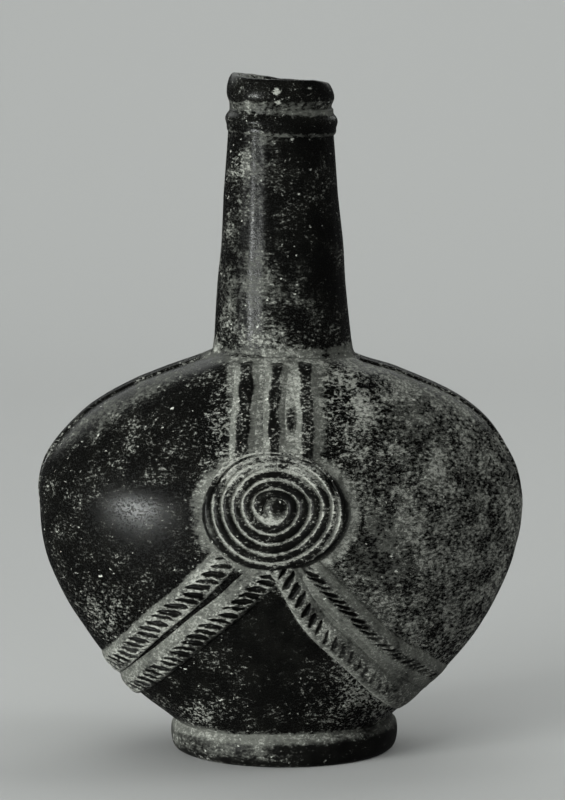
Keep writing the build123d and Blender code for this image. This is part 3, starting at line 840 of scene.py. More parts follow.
class FLASK_OT_body(Operator):
    """Shape the hollow body from its two moulded halves."""
    bl_idname = "flask.body"
    bl_label = "Body"

    def execute(self, context):
        sizes = context.scene.flask_body
        wall = Wall(sizes)
        # Spokes over each face and round each side, and rings up the wall
        broad, narrow, rings_up = 118, 42, 236
        quarter = math.pi / 2
        facing = np.concatenate([
            np.linspace(0, quarter, count, endpoint=False) + start * quarter - quarter / 2
            for start, count in enumerate((broad, narrow, broad, narrow))])
        run = walked(wall.profile)
        heights = np.interp(np.linspace(0, run[-1], rings_up), run, wall.profile[:, 0])
        outer, normals = wall.point(facing[None, :], heights[:, None])
        outer = outer + wall.swell(outer)[..., None] * normals

        def flat(radius, height):
            return np.stack([radius * np.sin(facing), -radius * np.cos(facing),
                             np.full(len(facing), height)], axis=1)

        neck_wall, floor, middle = 5.0, wall.low + 6.0, 0.4
        floor_radius = mm(sizes.foot_seat_radius) - mm(sizes.wall)
        bore = mm(sizes.neck_base_radius) - neck_wall
        inner_heights = np.linspace(wall.low + 5.0, wall.high - 6.0, 26)
        inner, normals = wall.point(facing[None, :], inner_heights[:, None])
        inner = inner - mm(sizes.wall) * normals
        rings = [flat(middle, wall.low), flat(18.0, wall.low)] + list(outer)
        rings += [flat(bore, wall.high), flat(bore, wall.high - 3.0)] + list(inner[::-1])
        rings += [flat(floor_radius, floor), flat(middle, floor)]
        mesh = mesh_of("flask_body", *loft(rings))
        places = places_of(mesh)
        inside = wall.over(places)[0] < -3.0
        lime, film_and_sheen = settled_lime(wall, places)
        piece("flask_body", mesh, np.where(inside, 0.15, lime), np.where(inside, 0, film_and_sheen),
              "burnished_blackware", "front_shell", "back_shell")
        return {"FINISHED"}


class FLASK_OT_foot(Operator):
    """Turn the ring foot and lute it under the body."""
    bl_idname = "flask.foot"
    bl_label = "Foot"

    def execute(self, context):
        sizes = context.scene.flask_body
        belly, seat = mm(sizes.foot_belly_radius), mm(sizes.foot_seat_radius)
        top = mm(sizes.foot_height)
        # Luted a little to the right of the axis
        aside = 1.15
        outside = rounded([
            (seat - 1.2, top + 2.6), (seat - 0.2, top + 1.9), (seat + 0.9, top + 1.15),
            (belly - 1.5, top + 0.55), (belly - 0.65, top - 0.35), (belly - 0.15, top - 1.8),
            (belly, 5.2), (belly - 0.35, 2.6), (belly - 1.15, 0.75), (seat + 0.2, 0.0)], 0.4)
        inside = [(seat - 2.0, 0.0), (seat - 4.0, 0.0), (seat - 5.0, 0.5), (seat - 6.4, 4.5),
                  (seat - 8.0, top), (seat - 6.0, top + 1.5)]

        def shift(bearing, radius, height):
            waves = np.sin(2 * bearing + 0.6) + 0.6 * np.sin(5 * bearing + 2.0) + 0.4 * np.sin(9 * bearing)
            free = smooth(0.0, 3.0, height) * smooth(seat - 6, seat, radius)
            radius = radius + 0.14 * waves * free
            return radius, height + 0.16 * np.sin(3 * bearing + 1.1) * free * smooth(3.0, 7.0, height)

        rings = turned(np.vstack([outside, inside]), shift, 192)
        rings[..., 0] += aside
        mesh = mesh_of("ring_foot", *loft(rings, around=True))
        x, y, z = places_of(mesh).T
        radius = np.hypot(x - aside, y)
        shoulder = smooth(top - 2.4, top - 0.2, z)
        lime = 0.10 + 0.24 * shoulder - 0.06 * smooth(0, 20, x) + 0.04 * smooth(-8, -24, x)
        lime += 0.2 * smooth(1.6, 0.5, z) * smooth(20, -10, x)
        film_and_sheen = 0.72 * shoulder * (1 - 0.25 * smooth(10, 34, x))
        film_and_sheen += 0.42 * smooth(12, -12, x) * smooth(1, 4, z)
        lime = np.where(radius < seat - 4.5, 0.3, lime)
        piece("ring_foot", mesh, lime, film_and_sheen, "foot_blackware", "foot_ring")
        return {"FINISHED"}


def neck_radius(sizes, height):
    """The neck's radius at a height: a straight taper, a touch steeper under the lip."""
    seat, base = mm(sizes.neck_seat_height), mm(sizes.neck_base_radius)
    heights = [seat - 4, seat, 138.5, *NECK_HEIGHTS, mm(sizes.neck_top_height)]
    return np.interp(height, heights, [base + 1.1, base + 0.6, base - 0.05, *NECK_RADII,
                                       mm(sizes.neck_top_radius)])


def neck_lean(height):
    """How far right of the axis the hand-drawn neck stands at a height."""
    return np.interp(height, *zip(*NECK_LEANS))


class FLASK_OT_neck(Operator):
    """Draw up the tapering neck and smear its luting coil over the joint."""
    bl_idname = "flask.neck"
    bl_label = "Neck"

    def execute(self, context):
        sizes = context.scene.flask_body
        wall = Wall(sizes)
        low, high = mm(sizes.neck_seat_height) - 4.5, mm(sizes.neck_top_height)
        heights = np.arange(low, high, 1.0)
        outside = np.stack([neck_radius(sizes, heights), heights], axis=1)
        bore = mm(sizes.bore_radius)
        inside = [(neck_radius(sizes, high), high), (bore, high), (bore, 206.0), (15.2, 170.0),
                  (mm(sizes.neck_base_radius) - 5.0, low)]

        def shift(bearing, radius, height):
            waves = np.sin(2 * bearing + height / 31.0) + 0.7 * np.sin(3 * bearing - height / 17.0 + 1.0)
            # Upright strokes of the burnishing stone leave narrow facets
            strokes = np.cos(21 * bearing + 1.2 * np.sin(3 * bearing) + 0.4 * np.sin(height / 8.0))
            return radius + (0.09 * waves + 0.05 * strokes) * smooth(bore + 1, bore + 3, radius), height

        rings = turned(np.vstack([outside, inside]), shift, 252)
        rings[..., 0] += neck_lean(rings[..., 2]) * smooth(12, 14, np.hypot(rings[..., 0], rings[..., 1]))
        mesh = mesh_of("neck", *loft(rings, around=True))
        x, y, z = places_of(mesh).T
        lime = 0.16 - 0.14 * smooth(2, 16, x) + 0.10 * smooth(160, 138, z) - 0.10 * smooth(185, 205, z)
        lime += patched(x, z, NECK_LIME)
        chip = bell(x, z, (3.8, 205.7), (1.1, 0.9)) * (y < 0)
        # Film, greyer to the left and low down, plus the painted highlight streaks from the neck's patch
        # table
        veil_and_sheen = 0.10 * smooth(6, -9, x) + 0.15 * smooth(176, 150, z) * smooth(20, 0, x)
        veil_and_sheen += 0.05 + patched(x, z, NECK_FILM_AND_HIGHLIGHTS)
        inner = np.hypot(x - neck_lean(z), y) < neck_radius(sizes, z) - 2
        piece("neck", mesh, np.where(inner, 0.12, np.maximum(lime, 0.06) + 1.2 * chip),
              np.maximum(veil_and_sheen, 0.6 * smooth(wall.high + 4, wall.high + 2, z)) * ~inner,
              "burnished_blackware", "neck_tube")

        # The luting coil: smeared up the neck and out on the shoulder, lower at the sides
        bearing = np.linspace(0, 2 * math.pi, 200, endpoint=False)
        to_sides = np.cos(bearing) ** 2
        reach = 2.9 + 0.35 * np.sin(3 * bearing + 0.5) + 0.25 * np.sin(7 * bearing)
        top = (mm(sizes.neck_seat_height) + 1.6 - 1.2 * to_sides + 0.3 * np.sin(2 * bearing + 2.2)
               + 0.3 * np.sin(5 * bearing))
        foot = about_axis(bearing, mm(sizes.neck_base_radius) + reach, wall.high - 1.2 - 2.2 * to_sides)
        foot, _ = wall.seat(foot, np.full(200, -SUNK))
        lean = neck_lean(top)
        head = about_axis(bearing, neck_radius(sizes, top) - SUNK, top, lean)
        corner = about_axis(bearing, neck_radius(sizes, wall.high) + 0.7, foot[:, 2] + 0.7, lean)
        along = np.linspace(0, 1, 12)[None, :, None]
        face = head[:, None] * (1 - along) ** 2 + 2 * corner[:, None] * along * (1 - along) \
            + foot[:, None] * along ** 2
        hidden = about_axis(bearing[:, None], 20.5, np.array([wall.high - 4.2, wall.high + 0.6]))
        mesh = mesh_of("neck_luting", *loft(np.concatenate([face, hidden], axis=1), around=True))
        x, y, z = places_of(mesh).T
        piece("neck_luting", mesh, 0.16 - 0.08 * smooth(2, 20, x), 0.42, "burnished_blackware",
              "neck_luting_coil")
        return {"FINISHED"}


class FLASK_OT_mouth(Operator):
    """Roll the lip and the ring under it."""
    bl_idname = "flask.mouth"
    bl_label = "Mouth"

    def execute(self, context):
        sizes = context.scene.flask_body
        # Lip and ring tilt down to the right: the slope, and their half width in mm
        tilt, girth = 0.035, 17
        low, crest, high = 206.6, 210.4, 214.4
        below, above = neck_radius(sizes, low), neck_radius(sizes, high)
        section = rounded([
            (below - 0.5, low - 0.4), (below + 0.3, low), (18.05, crest - 1.9), (18.5, crest),
            (18.1, crest + 1.6), (17.2, high - 0.9), (above + 0.1, high + 0.5), (above - 0.5, high + 0.9)],
            0.35)
        hidden = [(15.4, high - 1), (15.4, low + 1)]

        def slope(bearing, radius, height):
            waves = np.sin(2 * bearing + 1.0) + 0.6 * np.sin(5 * bearing)
            out = smooth(16.5, 18.5, radius)
            return radius + 0.12 * waves * out, height - tilt * girth * np.cos(bearing) + 0.12 * waves

        rings = turned(np.vstack([section, hidden]), slope)
        rings[..., 0] += 0.32
        mesh = mesh_of("neck_ring", *loft(rings, around=True))
        x, y, z = places_of(mesh).T
        edge = smooth(2.2, 3.6, np.abs(z + tilt * x - crest))
        lime = 0.06 + 0.14 * edge * smooth(8, -6, x) + 0.06 * smooth(0, -12, x)
        piece("under_lip_ring", mesh, lime, 0.5 * edge, "burnished_blackware", "neck_ring")

        bore = mm(sizes.bore_radius)
        outside = rounded([
            (16.75, 213.0), (16.8, 215.2), (16.95, 216.4), (17.55, 217.8), (17.7, 219.0), (17.45, 220.4),
            (16.9, 221.8), (16.4, 222.8), (15.9, 223.4), (15.2, 223.6), (14.2, 223.4), (13.0, 222.4),
            (bore, 221.0)], 0.3)
        inside = [(bore, 218.0), (bore, 214.6)]

        def uneven(bearing, radius, height):
            rises = np.interp(np.degrees(bearing) % 360, np.arange(9) * 45, RIM_RISES + RIM_RISES[:1])
            chips = 0.10 * np.sin(11 * bearing) * np.sin(4 * bearing + 1) * smooth(-0.6, 0.4, np.sin(bearing))
            share = smooth(216.2, 222.0, height)
            lift = (rises + chips) * share
            lift = lift - (1 - share) * tilt * girth * np.cos(bearing) * smooth(213.5, 215.5, height)
            out = smooth(15.5, 17.0, radius)
            return radius + 0.14 * np.sin(2 * bearing + 0.7) * out, height + lift

        mesh = mesh_of("rolled_lip", *loft(turned(np.vstack([outside, inside]), uneven, 192), around=True))
        x, y, z = places_of(mesh).T
        waist = smooth(218.2, 217.0, z)
        lime = 0.06 + waist * (0.06 + 0.05 * smooth(4, -10, x) - 0.35 * bell(x, z, (4, 216), (7, 6)))
        rim = smooth(15.8, 14.6, np.hypot(x, y)) * smooth(221.5, 223, z)
        lime += 0.45 * rim * smooth(4, -9, x)
        chips = bell(x, z, (-1.1, 221.2), (2.0, 1.7)) + bell(x, z, (-0.8, 217.5), (1.7, 1.5))
        lime += 1.2 * chips * (y < 0)
        film_and_sheen = 0.40 * waist * (1 - 0.55 * smooth(2, 14, x)) + 0.04 * smooth(4, -12, x)
        piece("rolled_lip", mesh, lime, film_and_sheen, "burnished_blackware", "mouth_lip")
        return {"FINISHED"}


class FLASK_OT_seams(Operator):
    """Lay the flat clay strips over the two side seams."""
    bl_idname = "flask.seams"
    bl_label = "Side seam strips"

    def execute(self, context):
        sizes, relief = context.scene.flask_body, context.scene.flask_relief
        wall = Wall(sizes)
        heights = np.linspace(wall.high - 1.0, 72.0, 170)
        taper = 0.25 + 0.75 * smooth(74.0, 106.0, heights)
        rise = mm(relief.seam_rise)
        for side, name in ((-1, "left"), (1, "right")):
            points, normals = wall.point(np.full(len(heights), side * math.pi / 2), heights)
            steps = np.cross(normals, unit(np.gradient(points, axis=0)))
            half = mm(relief.seam_width) / 2 * taper * (1 + 0.05 * np.sin(heights / 5.0 + side))

            def profile(along, across):
                fade = smooth(0.95, 0.55, along)
                edge = smooth(1.0, 0.84, np.abs(across))
                return (rise + SUNK) * edge * fade - SUNK

            rings = strip(wall, points, steps, half, profile, columns=21)
            mesh = mesh_of(f"{name}_seam_strip", *loft(rings))
            _, y, z = places_of(mesh).T
            lime = 0.14 + 0.2 * smooth(3.0, 4.2, np.abs(y)) + 0.2 * smooth(116, 92, z)
            film_and_sheen = 0.35 * smooth(112, 90, z)
            piece(f"{name}_seam_strip", mesh, lime, film_and_sheen, "burnished_blackware", f"{name}_seam_band")
        return {"FINISHED"}


def pad_rise(relief, out):
    """How far the medallion's pad stands over the wall, by the share of the way out."""
    full = mm(relief.pad_rise) + 0.5 * out ** 2
    return (full + SUNK) * smooth(1.12, 0.97, out) - SUNK


def coil_band(relief):
    """The coil as seen from the front: its middle line across and up, and its half width.

    Neighbouring turns share the room between them, less a narrow groove.
    """
    inmost = (1.3, 0.4, 0.6, 1.05, 1.35, 1.6, 2.25, 3.6)
    turn = 8
    reaches = np.array(inmost + COIL_REACHES)
    reach = curve_through(np.arange(len(reaches)) - float(turn), reaches[:, None])
    last = len(COIL_REACHES) - 1
    place = np.linspace(0, last, 2600)
    middle = reach(place)[:, 0]
    inner = (middle + reach(place - turn)[:, 0]) / 2
    next_turn = reach(np.minimum(place + turn, last))[:, 0]
    outer = np.where(place < last - turn, (middle + next_turn) / 2, 2 * middle - inner)
    half = (outer - inner) / 2 - mm(relief.coil_groove) / 2
    half *= (0.5 + 0.5 * smooth(0, 1.3, place)) * (0.3 + 0.7 * smooth(last, last - 1.2, place))
    angle = math.radians(225) - place * math.pi / 4
    centre = (inner + outer) / 2
    x = -mm(relief.coil_across) + centre * np.cos(angle)
    z = mm(relief.coil_height) + centre * np.sin(angle)
    # Higher up, the wall leans back and lifts what stands on it, so the coil is laid a touch lower
    lifted = mm(relief.coil_height)
    return x, z - 1.15 * smooth(lifted, lifted + 7, z), half


def coil_tree():
    """Geometry Nodes: a clay coil rolled along a line, then pressed flat against what it lies on."""
    tree, given = new_tree("pressed_coil", [
        ("Unevenness", "NodeSocketFloat"), ("Bead", "NodeSocketFloat"), ("Flatness", "NodeSocketFloat"),
        ("Clay", "NodeSocketMaterial")])
    plus, minus, times, _, _ = shorthands(tree)
    line = add_node(tree, "GeometryNodeMeshToCurve", {"Mesh": given["Geometry"]}).outputs[0]
    even = add_node(tree, "GeometryNodeResampleCurve", {"Curve": line, "Length": 0.4 * MM}, mode="LENGTH")
    thickness = add_node(tree, "GeometryNodeInputNamedAttribute", {"Name": "thickness"}).outputs[0]
    seat, out = [add_node(tree, "GeometryNodeInputNamedAttribute", {"Name": label},
                          data_type="FLOAT_VECTOR").outputs[0] for label in ("seat", "out")]
    spot = add_node(tree, "GeometryNodeInputPosition").outputs[0]
    noise = add_node(tree, "ShaderNodeTexNoise", {
        "Vector": spot, "Scale": given["Bead"], "Detail": 2.0}).outputs["Fac"]
    scale = times(thickness, plus(times(minus(noise, 0.5), given["Unevenness"]), 1.0))
    section = add_node(tree, "GeometryNodeCurvePrimitiveCircle", {"Resolution": 18, "Radius": 0.5})
    rolled = add_node(tree, "GeometryNodeCurveToMesh", {
        "Curve": even.outputs[0], "Profile Curve": section.outputs[0], "Scale": scale,
        "Fill Caps": True}).outputs[0]
    high = vectors(tree, "DOT_PRODUCT", vectors(tree, "SUBTRACT", spot, seat), out)
    offset = vectors(tree, "SCALE", out, times(high, minus(given["Flatness"], 1.0)))
    pressed = add_node(tree, "GeometryNodeSetPosition", {"Geometry": rolled, "Offset": offset})
    end_tree(tree, pressed.outputs[0], given["Clay"])
    return tree


class FLASK_OT_medallions(Operator):
    """Press on the oval pads and wind the coils on them."""
    bl_idname = "flask.medallions"
    bl_label = "Medallions"

    def execute(self, context):
        relief = context.scene.flask_relief
        wall = Wall(context.scene.flask_body)
        cx, cz = -mm(relief.medallion_across), mm(relief.medallion_height)
        eye = -mm(relief.coil_across), mm(relief.coil_height)
        half_width, half_height = mm(relief.medallion_half_width), mm(relief.medallion_half_height)

        def out_of(x, z):
            return np.hypot((x - cx) / half_width, (z - cz) / half_height)

        def boss(x, z):
            return smooth(3.6, 1.2, np.hypot(x - eye[0] - 0.4, z - eye[1]))

        def rise(out, bearing):
            x, z = cx + half_width * out * np.cos(bearing), cz + half_height * out * np.sin(bearing)
            hand = 0.12 * np.sin(5 * bearing + 1.0) * smooth(0.8, 1.0, out)
            return pad_rise(relief, out) + 0.9 * boss(x, z) + hand * smooth(1.16, 1.05, out)

        rings = island(wall, (cx, cz), half_width, half_height, rise, rings=84, spokes=220)
        pad = mesh_of("medallion_pad", *loft(rings))
        x, _, z = places_of(pad).T
        out = out_of(x, z)
        groove = smooth(1.0, 0.95, out)
        pad_lime = 0.10 + 0.58 * groove - 0.62 * boss(x, z) + 0.45 * smooth(8, 15, z - cz) * (1 - groove)
        eye_share = smooth(4.6, 3.4, np.hypot(x - eye[0], z - eye[1]))
        pad_lime -= 0.42 * eye_share * (1 - boss(x, z))
        pad_film = groove * (1 - 0.50 * eye_share) * (1 - 0.88 * boss(x, z))
        pad_film = np.maximum(pad_film, 0.9 * smooth(1.04, 1.11, out))

        x, z, half = coil_band(relief)
        base, _ = wall.front(x, z)
        line, out_way = wall.seat(base, pad_rise(relief, np.minimum(out_of(x, z), 0.95)) + 0.08)
        path = polyline("coil_line", line, {"thickness": 2 * half * MM, "seat": line * MM, "out": out_way})
        coil = grow("medallion_coil", path, coil_tree(), {
            "Unevenness": 0.42, "Bead": per_mm(2.3), "Flatness": 0.70,
            "Clay": finish_of("applied_relief_clay")})
        places = places_of(coil)
        x, z = places[:, 0], places[:, 2]
        out = out_of(x, z)
        height = wall.over(places)[0] - wall.swell(places) - pad_rise(relief, np.minimum(out, 0.95))
        coil_lime = 0.58 * smooth(0.90, 0.20, height) + 0.15
        coil_lime *= 1 - 0.7 * smooth(0.93, 1.0, out)
        coil_lime += 0.50 * smooth(6, 15, z - cz) * smooth(0.74, 0.98, out) * smooth(20, 8, x - cx)
        coil_lime += patched(x - cx, z - cz, ((0.38, (9, 11), (11, 7)), (0.20, (-14, 9), (8, 9))))
        coil_film = smooth(0.5, 0.15, height) * smooth(1.0, 0.95, out)
        coil_film = np.maximum(coil_film, 0.4 * bell(x - cx, z - cz, (-22, -3), (5, 12)))
        on_both_faces(("medallion_pad", pad, pad_lime, pad_film, "medallion_pad"),
                      ("medallion_coil", coil, coil_lime, coil_film, "medallion_coil"))
        return {"FINISHED"}


def faced(mesh, face):
    """A copy of a front piece's mesh, for the front or carried to the back with faces outward."""
    copy = mesh.copy()
    if face == "back":
        copy.transform(Matrix.Scale(-1, 4, Vector((0, 1, 0))))
        copy.flip_normals()
    return copy


def on_both_faces(*reliefs):
    """Set relief pieces on the front and, mirrored, on the back: label, mesh, lime, film and node."""
    for face in ("front", "back"):
        for label, mesh, lime, film_and_sheen, node in reliefs:
            piece(f"{face}_{label}_clay", faced(mesh, face), lime, film_and_sheen, "applied_relief_clay",
                  f"{face}_{node}")


class FLASK_OT_hangers(Operator):
    """Lay the three hanger straps and the pellet between two of them."""
    bl_idname = "flask.hangers"
    bl_label = "Hanger straps"

    def execute(self, context):
        sizes, relief = context.scene.flask_body, context.scene.flask_relief
        wall = Wall(sizes)
        rise = mm(relief.strap_rise)
        top, bottom, rows, sunk = mm(sizes.neck_seat_height) - 1.2, 100.5, 110, 0.14

        def laid(centre, heights, half, crest, peak):
            base, normals = wall.front(centre, heights)
            steps = np.cross(normals, unit(np.gradient(base, axis=0)))

            def profile(along, across):
                spread = np.abs(across) * half
                hand = 1 + 0.07 * np.sin(along * 23 + crest) + 0.04 * np.sin(along * 51)
                ends = smooth(0.0, 0.06, along)
                return (peak * hand * ends + sunk) * smooth(half, crest * 0.5, spread) - sunk
            return strip(wall, base, steps, half, profile, columns=35)

        # Each strap: where it lies across at its top and foot, half its rubbed crest, half its foot
        straps = (("left", -11.2, -12.6, 1.9, 4.9), ("middle", -1.3, -2.5, 1.45, 4.3),
                  ("right", 8.3, 8.9, 1.7, 4.8))
        for index, (name, high_across, low_across, crest, half) in enumerate(straps):
            heights = np.linspace(top, bottom, rows)
            along = np.linspace(0, 1, rows)
            centre = high_across + (low_across - high_across) * along + 0.3 * np.sin(along * 7 + index * 2)
            parts = [loft(laid(centre, heights, half, crest, rise))]
            if name == "middle":
                # A low bar of clay joins it to the right strap, below the pellet
                across = np.linspace(-0.6, 8.4, 40)
                sag = 107.4 - 1.0 * np.sin(np.linspace(0, math.pi, 40))
                parts.append(loft(laid(across, sag, 3.4, 0.8, rise * 0.7)))
            mesh = mesh_of(f"hanger_{name}_strap", *joined(parts))
            x, _, z = places_of(mesh).T
            aside = np.abs(x - np.interp(z, heights[::-1], centre[::-1]))
            rubbed = smooth(crest + 0.8, crest - 0.3, aside + 0.3 * np.sin(z / 1.7 + index))
            lime = 0.34 - 0.08 * rubbed + 0.10 * smooth(110, 103, z)
            on_both_faces((f"{name}_strap", mesh, lime, 0.95 - 0.95 * rubbed, f"hanger_{name}_strap"))

        def pellet_rise(out, bearing):
            return 1.1 * smooth(1.1, 0.25, out) - SUNK

        across, height, half_width, half_height = 3.3, 116.4, 2.2, 5.9
        rings = island(wall, (across, height), half_width, half_height, pellet_rise, rings=18, spokes=60,
                       reach=1.15)
        mesh = mesh_of("hanger_pellet", *loft(rings))
        x, _, z = places_of(mesh).T
        rim = smooth(0.4, 0.8, np.hypot((x - across) / half_width, (z - height) / half_height))
        on_both_faces(("pellet", mesh, 0.30 + 0.15 * rim, 0.2 + 0.7 * rim, "hanger_pellet"))
        return {"FINISHED"}


def notch_tree():
    """Geometry Nodes: slanting notches pressed one after another into a strip of clay."""
    tree, given = new_tree("pressed_notches", [
        ("Pitch", "NodeSocketFloat"), ("Turn", "NodeSocketFloat"), ("Lower", "NodeSocketFloat"),
        ("Upper", "NodeSocketFloat"), ("Width", "NodeSocketFloat"), ("Depth", "NodeSocketFloat"),
        ("Bow", "NodeSocketFloat"), ("Seed", "NodeSocketInt"), ("Clay", "NodeSocketMaterial")])

    def named(label, kind="FLOAT"):
        return add_node(tree, "GeometryNodeInputNamedAttribute", {"Name": label}, data_type=kind).outputs[0]

    def chance(number, seed_step, low, high):
        seed = plus(given["Seed"], float(seed_step))
        return output_of(add_node(tree, "FunctionNodeRandomValue", {
            "ID": number, "Seed": seed, "Min_001": low, "Max_001": high}, data_type="FLOAT"), "Value_001")

    plus, minus, times, greatest, swung = shorthands(tree)
    run, over, give = named("run"), named("over"), named("give")
    pitch, turn = given["Pitch"], given["Turn"]
    spot = add_node(tree, "GeometryNodeInputPosition").outputs[0]
    wander = add_node(tree, "ShaderNodeTexNoise", {"Vector": spot, "Scale": per_mm(3.0), "Detail": 2.0})
    wander = swung(wander.outputs["Fac"], 1.5 * MM)
    # The place within a notch: share along its length, local across it
    middle = times(plus(given["Lower"], given["Upper"]), 0.5)
    half = times(minus(given["Upper"], given["Lower"]), 0.5, named("span"))
    share = maths(tree, "DIVIDE", minus(over, middle), half)
    along = minus(times(run, maths(tree, "SINE", turn)), times(over, maths(tree, "COSINE", turn)))
    along = plus(along, wander, times(share, share, given["Bow"]))
    number = maths(tree, "ROUND", maths(tree, "DIVIDE", along, pitch))
    local = plus(minus(along, times(number, pitch)), times(chance(number, 0, -0.1, 0.1), pitch))
    share = plus(share, chance(number, 100, -0.2, 0.2))
    # A notch is a lens with a rounded floor, pressed less towards its ends
    lens = minus(1.0, maths(tree, "POWER", maths(tree, "ABSOLUTE", share), 2.0))
    lens = maths(tree, "SQRT", greatest(lens, 0.0))
    reach = times(given["Width"], 0.5, lens, chance(number, 200, 0.62, 1.16))
    off = maths(tree, "DIVIDE", maths(tree, "ABSOLUTE", local), greatest(reach, 0.01 * MM))
    press = add_node(tree, "ShaderNodeMapRange", {
        "Value": off, "From Min": 1.0, "From Max": 0.4, "To Min": 0.0, "To Max": 1.0},
        interpolation_type="SMOOTHSTEP").outputs[0]
    press = times(press, give, maths(tree, "MINIMUM", times(lens, 1.7), 1.0))
    deep = times(press, given["Depth"], chance(number, 300, -0.8, -1.1))
    offset = vectors(tree, "SCALE", named("out", "FLOAT_VECTOR"), deep)
    kept = add_node(tree, "GeometryNodeStoreNamedAttribute", {
        "Geometry": given["Geometry"], "Name": "pressed", "Value": press}, domain="POINT").outputs[0]
    moved = add_node(tree, "GeometryNodeSetPosition", {"Geometry": kept, "Offset": offset}).outputs[0]
    end_tree(tree, moved, given["Clay"])
    return tree


class FLASK_OT_cords(Operator):
    """Lay the notched cords from the medallions round the flask's sides."""
    bl_idname = "flask.cords"
    bl_label = "Notched cords"

    def execute(self, context):
        relief = context.scene.flask_relief
        wall = Wall(context.scene.flask_body)
        clay = finish_of("applied_relief_clay")
        tree = notch_tree()
        half_width, full = mm(relief.cord_width) / 2, mm(relief.cord_rise)
        columns = 45
        for index, (name, traits) in enumerate(CORDS.items()):
            cord = dict(zip(CORD_TRAITS, traits))
            even, (points, normals, steps) = evened(whole_path(*cord_path(wall, name)), 0.27)
            steps *= np.sign(steps[:, 2:3])
            run = np.minimum(even, even[-1] - even)
            # The clay was smeared flatter where the cord turns round the side
            firm = 1 - (1 - cord["kept"]) * smooth(cord["fade"], 2.0, even[-1] / 2 - run)
            firm *= smooth(0.0, 3.0, run)
            outward = smooth(22.0, 44.0, run)
            reach = half_width * (cord["spread"] + cord["widening"] * outward)

            def profile(along, across):
                strength = np.interp(along, np.linspace(0, 1, len(run)), firm)
                over = across * reach[:, None] / half_width
                on_shelf = cord["shelf_side"] * across > 0
                top = full * np.sqrt(np.clip(1 - (np.abs(over) / 0.98) ** 2.6, 0, 1)) ** 0.9
                if cord["ridge"]:
                    top = np.maximum(top, 1.15 * smooth(0.20, 0.0, np.abs(over - cord["ridge"])))
                top = np.maximum(top, cord["shelf"] * smooth(1.0, 0.86, np.abs(across)) * on_shelf)
                # The edge without a shelf dips under the wall
                top -= 0.5 * smooth(0.98, 1.08, np.abs(over)) * ~on_shelf
                return (top + SUNK) * strength - SUNK

            rings = strip(wall, points, steps, reach, profile, columns=columns)
            across = np.concatenate([np.linspace(-1, 1, columns), [1.0, -1.0]])
            on_top = np.arange(columns + 2) < columns
            # The notches grow short and faint on the way out, and the strip's two hubs take none
            faint = cord["faint"] * outward
            span = 1.0 + cord["longer"] * smooth(22.0, 6.0, run) - 0.2 * faint
            values = {"run": np.broadcast_to(run[:, None] * MM, rings.shape[:2]),
                      "over": across * reach[:, None] * MM,
                      "give": (firm * (1 - faint))[:, None] * on_top,
                      "span": np.broadcast_to(span[:, None], rings.shape[:2])}
            values = {label: np.concatenate([np.ravel(way), [1.0, 1.0]]) for label, way in values.items()}
            values["out"] = np.vstack([np.repeat(normals, columns + 2, axis=0), np.zeros((2, 3))])
            spacing, turn = cord["spacing"], math.radians(cord["turn"])
            lower, upper = cord["lower"], cord["upper"]
            mesh = grow(f"{name}_notched", mesh_of(name, *loft(rings), values), tree, {
                "Pitch": spacing * math.sin(turn) * MM, "Turn": turn,
                "Lower": lower * half_width * MM, "Upper": upper * half_width * MM,
                "Width": relief.notch_share * cord["notch_width"] * spacing * math.sin(turn) * MM,
                "Depth": relief.notch_depth, "Bow": cord["bow"] * MM,
                "Seed": relief.seed + index, "Clay": clay})
            pressed, over, far, _, _ = [stored(mesh, label)
                                        for label in ("pressed", "over", "run", "give", "span")]
            mesh.attributes.remove(mesh.attributes["out"])
            over = over / MM / half_width
            # Where the notches are faint, lime fills them
            filled = cord["filled"] * smooth(16.0, 40.0, far / MM)
            notched = smooth(lower - 0.22, lower + 0.05, over) * smooth(upper + 0.22, upper - 0.05, over)
            bed = smooth(0.06, 0.42, pressed) * (1 - filled)
            lime = notched * (cord["crest_lime"] - 0.52 * bed) + (1 - notched) * cord["bare_lime"]
            film_and_sheen = notched * 0.6 * (1 - bed) + (1 - notched) * 0.8
            if name == "left_lower_cord":
                # Dark along its lower edge
                edge = smooth(-1.0, -0.5, over)
                lime, film_and_sheen = lime * edge, film_and_sheen * (0.5 + 0.5 * edge)
            if name == "right_lower_cord":
                lime = lime + 0.12 * smooth(-0.66, -0.8, over)
            piece(f"{name}_clay", mesh, lime, film_and_sheen, "applied_relief_clay", name)
        return {"FINISHED"}


